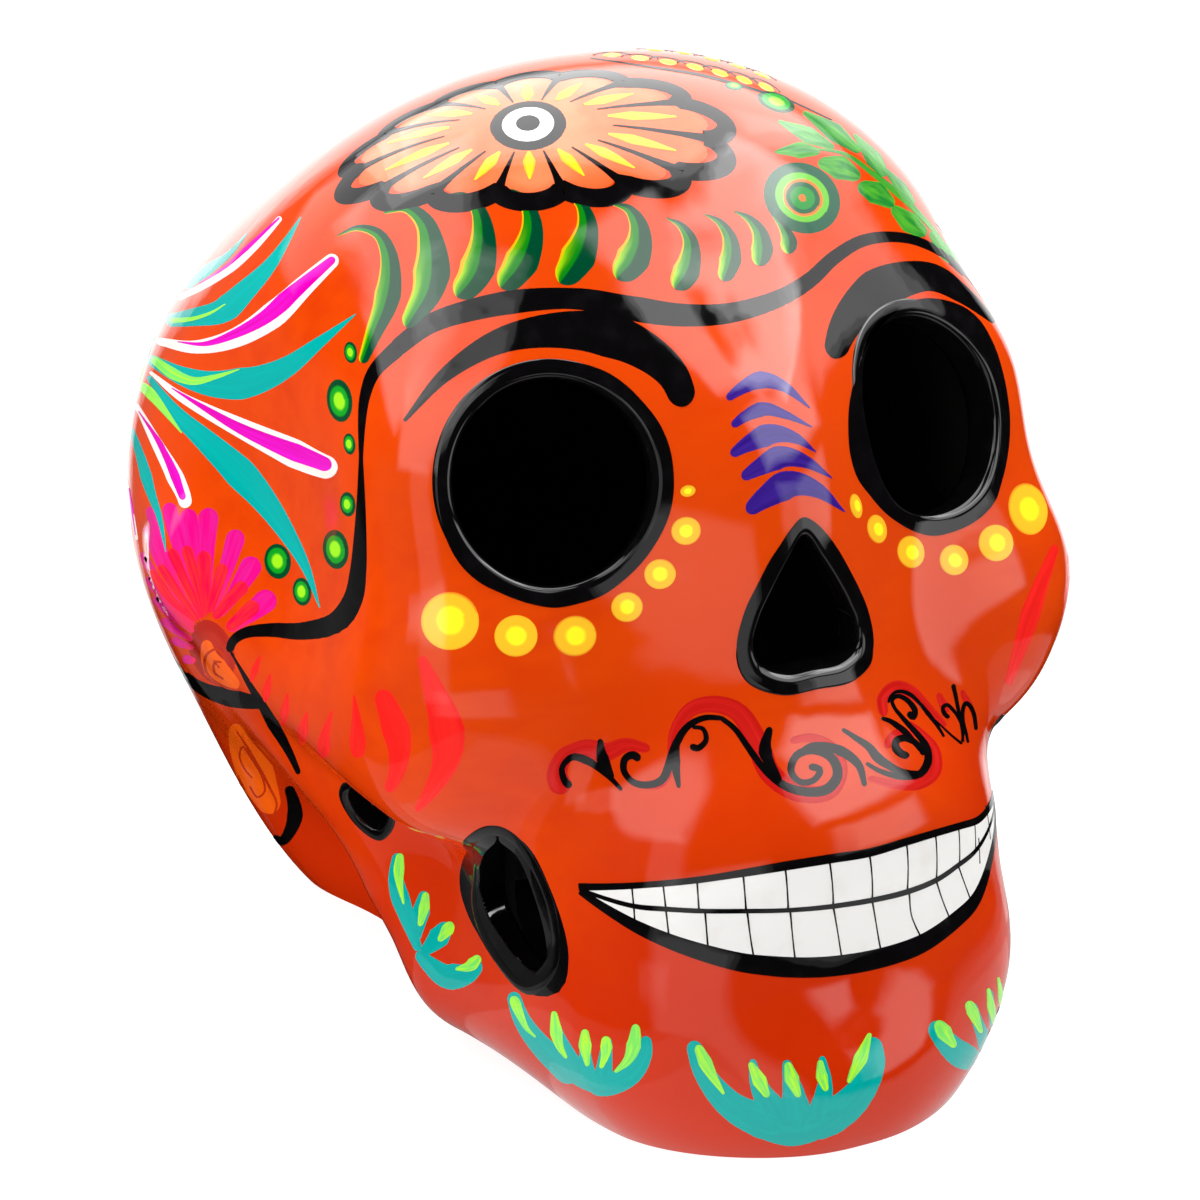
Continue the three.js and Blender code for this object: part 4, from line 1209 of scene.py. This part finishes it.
BACK_FANS = [
    ("back_turquoise", [SPRAY_TURQUOISE[i] for i in (0, 2, 3)], PAINT_LIFT, "turquoise"),
    ("back_lime", SPRAY_LIME, LIME_LIFT, "lime_touch"),
    ("back_white", [SPRAY_WHITE[i] for i in (0, 2)], WHITE_LIFT, "pale_white"),
    ("back_magenta", [SPRAY_MAGENTA[i] for i in (0, 2)], MAGENTA_LIFT, "magenta"),
]
for name, rows, lift, paint_name in BACK_FANS:
    gather(name, [fan_back(*row, lift) for row in rows], paint_name, both_sides=True)
nape_angle = np.radians(np.linspace(-77, 77, 90))
nape_path = round_back(nape_angle, 46 + 1.2 * np.abs(nape_angle))
gather("back_line", [line(nape_path, [4.2, 4.6, 4.2])], "black_enamel")
DOT_SIZES = [2, 3, 2.2, 3.2, 2.4, 3.2, 2.2, 3, 2]
dot_places = round_back(np.radians(np.linspace(-52, 52, len(DOT_SIZES))), np.full(len(DOT_SIZES), 57.0))
back_dots = [spot(place, size, 0.16, rings=9) for place, size in zip(dot_places, DOT_SIZES)]
gather("back_dots", back_dots, "dot_green")
print("painted pieces:", len(painted))

# %% [markdown]
# ## Writing a material as sums
# A material is a small set of formulas. One class wraps a socket and turns Python arithmetic into Math nodes,
# and one method makes any other node, with its settings first and then its values or links.


# %% Shade
class Shade:
    """A value in a material. Arithmetic on it adds Math nodes to the tree that it belongs to."""

    def __init__(self, tree, socket):
        self.tree, self.socket = tree, socket

    def node(self, kind, settings, values, output=0):
        """Any node: its settings are set first, then its inputs, by number or by name."""
        made = self.tree.nodes.new(kind)
        for title, setting in settings.items():
            setattr(made, title, setting)
        for title, value in values.items():
            if isinstance(value, Shade):
                self.tree.links.new(value.socket, made.inputs[title])
            else:
                made.inputs[title].default_value = value
        return Shade(self.tree, made.outputs[output])

    def math(self, operation, *values):
        return self.node("ShaderNodeMath", {"operation": operation}, dict(enumerate((self, *values))))

    def __add__(self, other):
        return self.math("ADD", other)

    def __sub__(self, other):
        return self.math("SUBTRACT", other)

    def __mul__(self, other):
        return self.math("MULTIPLY", other)

    def __rsub__(self, other):
        return self.node("ShaderNodeMath", {"operation": "SUBTRACT"}, {0: other, 1: self})

    __radd__, __rmul__ = __add__, __mul__

    def rise(self, low, high):
        """Nought below low, one above high, and a smooth step between."""
        values = {"Value": self, "From Min": low, "From Max": high}
        return self.node("ShaderNodeMapRange", {"interpolation_type": "SMOOTHSTEP"}, values)

    def mix(self, below, above):
        """One colour where this value is nought and the other where it is one."""
        return self.node("ShaderNodeMix", {"data_type": "RGBA", "clamp_factor": True},
                         {0: self, 6: below, 7: above}, 2)


# %% Starting a material
def paint(red, green, blue):
    """A colour as it looks on a screen, from 0 to 255, turned into light amounts."""
    share = np.array([red, green, blue]) / 255
    light = np.where(share <= 0.04045, share / 12.92, ((share + 0.055) / 1.055) ** 2.4)
    return (*light.tolist(), 1.0)


paints = {}


def start_material(name):
    """A new material, its place on the object, and its main shader node. The material is kept by its name."""
    material = paints[name] = bpy.data.materials.new(name)
    material.use_nodes = True
    shader = material.node_tree.nodes["Principled BSDF"]
    shader.inputs["IOR"].default_value = 1.5
    origin = Shade(material.node_tree, None)
    place = origin.node("ShaderNodeTexCoord", {}, {}, 3)
    return material, shader, place


def blotches(place, size_mm, detail=2.0, stretch=(1, 1, 1)):
    """Cloudy noise about nought to one, whose clouds are about the given size."""
    scaled = place.node("ShaderNodeMapping", {}, {0: place, 3: stretch})
    values = {"Vector": scaled, "Scale": 1 / (size_mm * MM), "Detail": detail}
    return place.node("ShaderNodeTexNoise", {"noise_dimensions": "3D"}, values)


def height_of(place):
    return place.node("ShaderNodeSeparateXYZ", {}, {0: place}, 2)


def value_of(place, title):
    return place.node("ShaderNodeAttribute", {"attribute_name": title}, {}, 2)


def feed(shader, title, value):
    """Links a value to the shader, or sets it where it is the same all over."""
    if isinstance(value, Shade):
        value.tree.links.new(value.socket, shader.inputs[title])
    else:
        shader.inputs[title].default_value = value


def waves(shader, place, height_mm, size_mm):
    """The waviness of a thick gloss coat: broad swells with small ones on them."""
    swell = blotches(place, size_mm, 1.0) + blotches(place, size_mm * 0.32, 1.0) * 0.22
    bump = place.node("ShaderNodeBump", {}, {"Strength": 1.0, "Distance": height_mm * MM, "Height": swell})
    feed(shader, "Normal", bump)


# %% Clay and enamel
INSIDE_BLACK = paint(9, 6, 5)
BUMP_MM, BUMP_SIZE_MM = 0.16, 13


def orange_coat():
    """Burnt orange laid on by brush: broad clouds, finer streaks, painted shade that darkens it lower down, and
    black inside the wall.
    """
    material, shader, place = start_material("burnt_orange_coat")
    clouds = blotches(place, 34, 3.0).rise(0.35, 0.68)
    streaks = blotches(place, 5, 4.0, (0.3, 1, 1)).rise(0.3, 0.75)
    # Painted shade: the coat turns darker and redder low on the skull and lighter higher up, between 30 and 100
    # mm, with the clouds moving that border.
    height = height_of(place) + clouds * 0.03
    painted_shade_coat = height.rise(0.03, 0.1).mix(paint(198, 44, 2), paint(216, 66, 5))
    coat = (streaks * 0.4 * clouds).mix(painted_shade_coat, paint(192, 36, 1))
    inside = value_of(place, "depth").rise(0.3, 0.9)
    feed(shader, "Base Color", inside.mix(coat, INSIDE_BLACK))
    feed(shader, "Roughness", 0.08 + streaks * 0.03 + inside * 0.9)
    waves(shader, place, BUMP_MM, BUMP_SIZE_MM)
    return material


def bare_clay():
    """Fired clay that was never coated: brick brown with dust and small pits, and black on its upper side."""
    material, shader, place = start_material("bare_fired_clay")
    dust = blotches(place, 12, 5.0).rise(0.4, 0.7)
    pits = blotches(place, 0.9, 2.0).rise(0.62, 0.7)
    clay = (pits * 0.7).mix(dust.mix(paint(150, 82, 52), paint(184, 112, 78)), paint(90, 46, 30))
    inside = height_of(place).rise(0.001, 0.002)
    feed(shader, "Base Color", inside.mix(clay, INSIDE_BLACK))
    feed(shader, "Roughness", 0.75 + dust * 0.15)
    values = {"Strength": 0.8, "Distance": 0.2 * MM, "Height": pits}
    feed(shader, "Normal", place.node("ShaderNodeBump", {"invert": True}, values))
    return material


def black_gloss():
    """Black enamel: almost black, and a little lighter where the brush left it thin."""
    material, shader, place = start_material("black_enamel")
    thin = blotches(place, 3, 3.0).rise(0.45, 0.8)
    feed(shader, "Base Color", (thin * 0.5).mix(paint(8, 7, 8), paint(20, 18, 20)))
    feed(shader, "Roughness", 0.05 + thin * 0.05)
    waves(shader, place, BUMP_MM, BUMP_SIZE_MM)
    return material


def white_gloss():
    """White enamel over the teeth, with faint warm clouds where the orange shows through."""
    material, shader, place = start_material("white_enamel")
    thin = blotches(place, 6, 3.0).rise(0.5, 0.8)
    feed(shader, "Base Color", (thin * 0.5).mix(paint(233, 231, 228), paint(219, 212, 206)))
    feed(shader, "Roughness", 0.06 + thin * 0.05)
    waves(shader, place, 0.03, 7)
    return material


# %% Painter's colours
def brush_paint(name, color, alpha=1.0):
    """A paint whose colour is worked out from how far across and along its stroke a place lies. The marks of
    the bristles are noise on those two values, drawn out along the stroke."""
    material, shader, place = start_material(name)
    across, along, tint = (value_of(place, title) for title in ("across", "along", "tint"))
    run = place.node("ShaderNodeCombineXYZ", {}, {0: across * 2.4, 1: along * 1.6, 2: tint * 7.0})
    values = {"Vector": run, "Scale": 1.0, "Detail": 3.0}
    noise = place.node("ShaderNodeTexNoise", {"noise_dimensions": "3D"}, values)
    bristles = noise.rise(0.3, 0.7)
    feed(shader, "Base Color", color(place, across, along, bristles))
    feed(shader, "Roughness", bristles * 0.03 + 0.05)
    if alpha < 1:
        feed(shader, "Alpha", alpha + bristles * 0.12)
    waves(shader, place, BUMP_MM, BUMP_SIZE_MM)
    return material


def two_tone(first, second, amount=0.5):
    """Two close colours, mixed by the marks of the bristles."""
    return lambda place, across, along, bristles: (bristles * amount).mix(paint(*first), paint(*second))


def leaf_color(place, across, along, bristles):
    """Dark green on one side, lime on the other, and an orange edge where the brush picked up wet paint."""
    side = across + bristles * 0.14 - 0.07
    green = side.rise(-0.06, 0.1).mix(paint(0, 66, 40), paint(12, 124, 14))
    lime = (side.rise(0.25, 0.75) * along.rise(0.35, 0.95)).mix(green, paint(150, 206, 10))
    return side.rise(0.74, 0.84).mix(lime, paint(250, 170, 12))


def ring_color(heart, middle, edge, low=0.35, high=0.8):
    """A dot of three colours, changing from its heart outwards."""
    def color(place, across, along, bristles):
        radius = across.math("ABSOLUTE") + bristles * 0.08 - 0.04
        inner = radius.rise(low, low + 0.18).mix(paint(*heart), paint(*middle))
        return radius.rise(high, high + 0.12).mix(inner, paint(*edge))
    return color


def target_color(place, across, along, bristles):
    """Rings of a target: lime heart, green, orange line, lime line, and a broad dark green rim."""
    radius = across.math("ABSOLUTE") + bristles * 0.04 - 0.02
    bands = [(0.0, (240, 110, 40)), (0.09, (30, 140, 50)), (0.3, (4, 92, 56)), (0.42, (250, 116, 40)),
             (0.49, (100, 186, 44)), (0.66, (4, 84, 56))]
    color = paint(*bands[0][1])
    for start, shade in bands[1:]:
        color = radius.rise(start - 0.02, start + 0.02).mix(color, paint(*shade))
    return color


def petal_color(place, across, along, bristles):
    """Pink petals that turn red towards the foot, with thin pale streaks."""
    pink = (bristles * 0.5).mix(paint(222, 8, 124), paint(206, 44, 152))
    return along.rise(0.6, 0.1).mix(pink, paint(238, 40, 90))


def rosette_color(place, across, along, bristles):
    """Pale orange with brushed clouds, warmer towards the outline."""
    clouds = blotches(place, 14, 4.0).rise(0.35, 0.7)
    middle = clouds.mix(paint(238, 104, 56), paint(246, 132, 88))
    return across.math("ABSOLUTE").rise(0.75, 1.0).mix(middle, paint(228, 84, 34))


coat, clay, black = orange_coat(), bare_clay(), black_gloss()
white_gloss()
brush_paint("leaf_green", leaf_color)
brush_paint("branch_green", two_tone((20, 120, 46), (90, 176, 40), 0.7))
brush_paint("target_green", target_color)
brush_paint("dot_green", ring_color((150, 232, 30), (14, 150, 30), (2, 66, 34), 0.3, 0.62))
brush_paint("dot_yellow", ring_color((255, 242, 40), (247, 188, 40), (232, 134, 30), 0.36, 0.88))
brush_paint("violet", two_tone((46, 22, 122), (70, 40, 150)))
brush_paint("red_glaze", two_tone((255, 30, 30), (255, 50, 40)), alpha=0.75)
brush_paint("red_halo", two_tone((206, 20, 20), (226, 44, 40)), alpha=0.72)
brush_paint("turquoise", two_tone((0, 168, 160), (0, 148, 145), 0.4))
brush_paint("lime_touch", two_tone((176, 240, 40), (84, 214, 110), 0.8))
brush_paint("magenta", two_tone((208, 0, 150), (226, 10, 204), 0.8))
brush_paint("pale_white", two_tone((246, 238, 232), (236, 214, 204), 0.5))
brush_paint("petal_pink", petal_color)
brush_paint("petal_red", two_tone((255, 4, 66), (255, 50, 34), 0.8))
brush_paint("maroon", two_tone((170, 34, 22), (196, 60, 40)))
brush_paint("spiral_orange", two_tone((250, 100, 16), (240, 84, 10)))
brush_paint("swirl_dark", two_tone((196, 52, 10), (180, 44, 14)))
brush_paint("rosette_orange", rosette_color)
brush_paint("ring_white", ring_color((250, 248, 244), (246, 240, 236), (238, 228, 220)))
print("materials:", len(paints))

# %% Give the materials out
def dress(piece, material, slot, *nodes):
    """The piece takes the material, rides on the skull, and stands for the nodes named. The slot is not used.
    """
    piece.data.materials.clear()
    piece.data.materials.append(material)
    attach(piece, "root")
    if nodes:
        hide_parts(*nodes)


dress(face_casting, coat, "painted_clay", "face_casting")
dress(rear_casting, coat, "painted_clay", "rear_casting")
for node, piece in rims.items():
    dress(piece, black, "black_enamel", node)
for piece, paint_name, nodes in painted:
    slot = paint_name if paint_name in ("black_enamel", "white_enamel") else "painted_clay"
    dress(piece, paints[paint_name], slot, *nodes)
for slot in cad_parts["floor_slab"].material_slots:
    slot.material = clay

# %% [markdown]
# ## Studio
# The skull stands on a white sweep that curls up behind it. A few large soft boxes light the clay and show in
# its gloss. The rest show in the gloss alone, like white cards, and so do the dark gaps between them, as in
# the photograph.

# %% Sweep, lights and world
def make_sweep():
    """A floor that curls up behind the object: a straight run, a quarter circle and an upright."""
    bend = np.radians(np.linspace(0, 90, 24))
    radius, back_edge, front_edge, side_edge, top, sink = 500.0, 900.0, -6000.0, 3000.0, 2600.0, 0.05
    y = np.concatenate([[front_edge], back_edge + radius * np.sin(bend), [back_edge + radius]])
    z = np.concatenate([[0], radius * (1 - np.cos(bend)), [top]])
    profile = np.stack([y, z - sink], axis=1)
    points = np.concatenate([np.insert(profile, 0, x, axis=1) for x in (-side_edge, side_edge)])
    first = np.arange(len(profile) - 1)
    quads = np.stack([first, first + len(profile), first + len(profile) + 1, first + 1], axis=1)
    turn = CAMERA_TURN
    spun = points @ np.array([[np.cos(turn), np.sin(turn), 0], [-np.sin(turn), np.cos(turn), 0], [0, 0, 1]])
    return make_piece("white_sweep", spun, [quads])


def sweep_material():
    """White paper on a light table: a faint cloudiness, and a glow of its own that is dark under the pouring
    hole, so that no light comes up into the hollow."""
    material, shader, place = start_material("white_paper")
    cloud = blotches(place, 300, 2.0)
    feed(shader, "Base Color", cloud.mix((0.24, 0.24, 0.24, 1), (0.26, 0.26, 0.26, 1)))
    feed(shader, "Roughness", 0.9)
    pouring_hole = (0, 0.0326, 0)
    from_hole = place.node("ShaderNodeVectorMath", {"operation": "DISTANCE"}, {0: place, 1: pouring_hole}, 1)
    glow = from_hole.rise(0.018, 0.026)
    feed(shader, "Emission Color", glow.mix((0, 0, 0, 1), (0.9, 0.9, 0.9, 1)))
    feed(shader, "Emission Strength", 1.0)
    return material


def soft_box(name, place, target, size, brightness, fills=True, shines=True):
    """A rectangular soft light that looks at the target. A light of brightness B and area A sends out pi
    times A times B watts. One that doesn't fill is seen in the gloss alone, like a white card."""
    data = bpy.data.lights.new(name, "AREA")
    data.shape, data.size, data.size_y = "RECTANGLE", size[0] * MM, size[1] * MM
    data.energy = brightness * np.pi * data.size * data.size_y
    light = bpy.data.objects.new(name, data)
    bpy.context.scene.collection.objects.link(light)
    away = np.array(place, float) - np.array(target, float)
    away /= np.linalg.norm(away)
    across = np.cross([0, 0, 1], away)
    across /= np.linalg.norm(across)
    matrix = np.eye(4)
    matrix[:3, 0], matrix[:3, 1], matrix[:3, 2] = across, np.cross(away, across), away
    matrix[:3, 3] = np.array(place) * MM
    light.matrix_world = Matrix(matrix.tolist())
    light.visible_camera, light.visible_diffuse, light.visible_glossy = False, fills, shines


sweep = make_sweep()
sweep.data.materials.append(sweep_material())
sweep.visible_glossy = False
MIDDLE = np.array([0, 0, 75])


def from_middle(turn, height, distance):
    """A place seen from the skull at a turn from straight ahead and a height above the level, in degrees."""
    turn, height = np.radians([turn, height])
    return MIDDLE + distance * np.array([np.sin(turn) * np.cos(height), -np.cos(turn) * np.cos(height),
                                         np.sin(height)])


# name, turn, height, distance, (width, height), brightness, whether it lights the clay as well as its gloss
BOXES = [
    ("left_box", -50, 42, 1000, (520, 640), 2.3, True),
    ("left_low_card", -42, 12, 1000, (300, 560), 0.8, False),
    ("nose_card", -22, -5, 1000, (760, 340), 0.9, False),
    ("right_box", 42, 33, 1000, (720, 400), 3.4, False),
    ("orbit_card", 42, 6, 1000, (580, 330), 2.0, False),
    ("wedge_card", 23, 57, 1000, (360, 220), 3.6, False),
    ("brow_box", 64, 49, 1000, (560, 270), 6.4, True),
    ("right_high_card", 88, 38, 1000, (610, 430), 1.8, False),
    ("back_box", 145, 60, 1100, (1540, 1240), 4.6, True),
    ("ceiling_box", -110, 60, 1100, (1000, 640), 3.0, True),
    ("left_back_card", -150, 36, 1100, (900, 560), 1.4, False),
    ("wall_card", 148, 2, 1200, (1500, 1100), 1.6, False),
    ("left_wall_card", -150, -8, 1100, (1200, 1200), 0.1, False),
]
# Each box is three lights of a third of its brightness, each farther and larger, for a soft edge.
EDGE_SCALES, EDGE_STEP = (0.86, 0.98, 1.1), 5
for name, turn, height, distance, size, brightness, fills in BOXES:
    for step, scale in enumerate(EDGE_SCALES):
        place = from_middle(turn, height, distance + EDGE_STEP * step)
        share = brightness / len(EDGE_SCALES)
        soft_box(f"{name}_{step}", place, MIDDLE, (size[0] * scale, size[1] * scale), share, fills)
soft_box("left_fill", from_middle(-75, 12, 1000), MIDDLE, (800, 500), 2.1, shines=False)
soft_box("right_fill", from_middle(60, 20, 1000), MIDDLE, (700, 500), 1.1, shines=False)
for step, scale in enumerate((0.5, 0.75, 1.0)):
    size = (290 * scale, 200 * scale)
    soft_box(f"table_card_{step}", (25, -95, -3 - step), (25, -94, 100), size, 0.25, False)
world = bpy.data.worlds.new("studio_air")
world.use_nodes = True
air = world.node_tree.nodes["Background"].inputs
air["Color"].default_value = (0.9, 0.95, 1.0, 1)
air["Strength"].default_value = 0.27
world.cycles_visibility.glossy = False
bpy.context.scene.world = world
bpy.context.scene.view_settings.view_transform = "Standard"
bpy.context.scene.view_settings.look = "None"
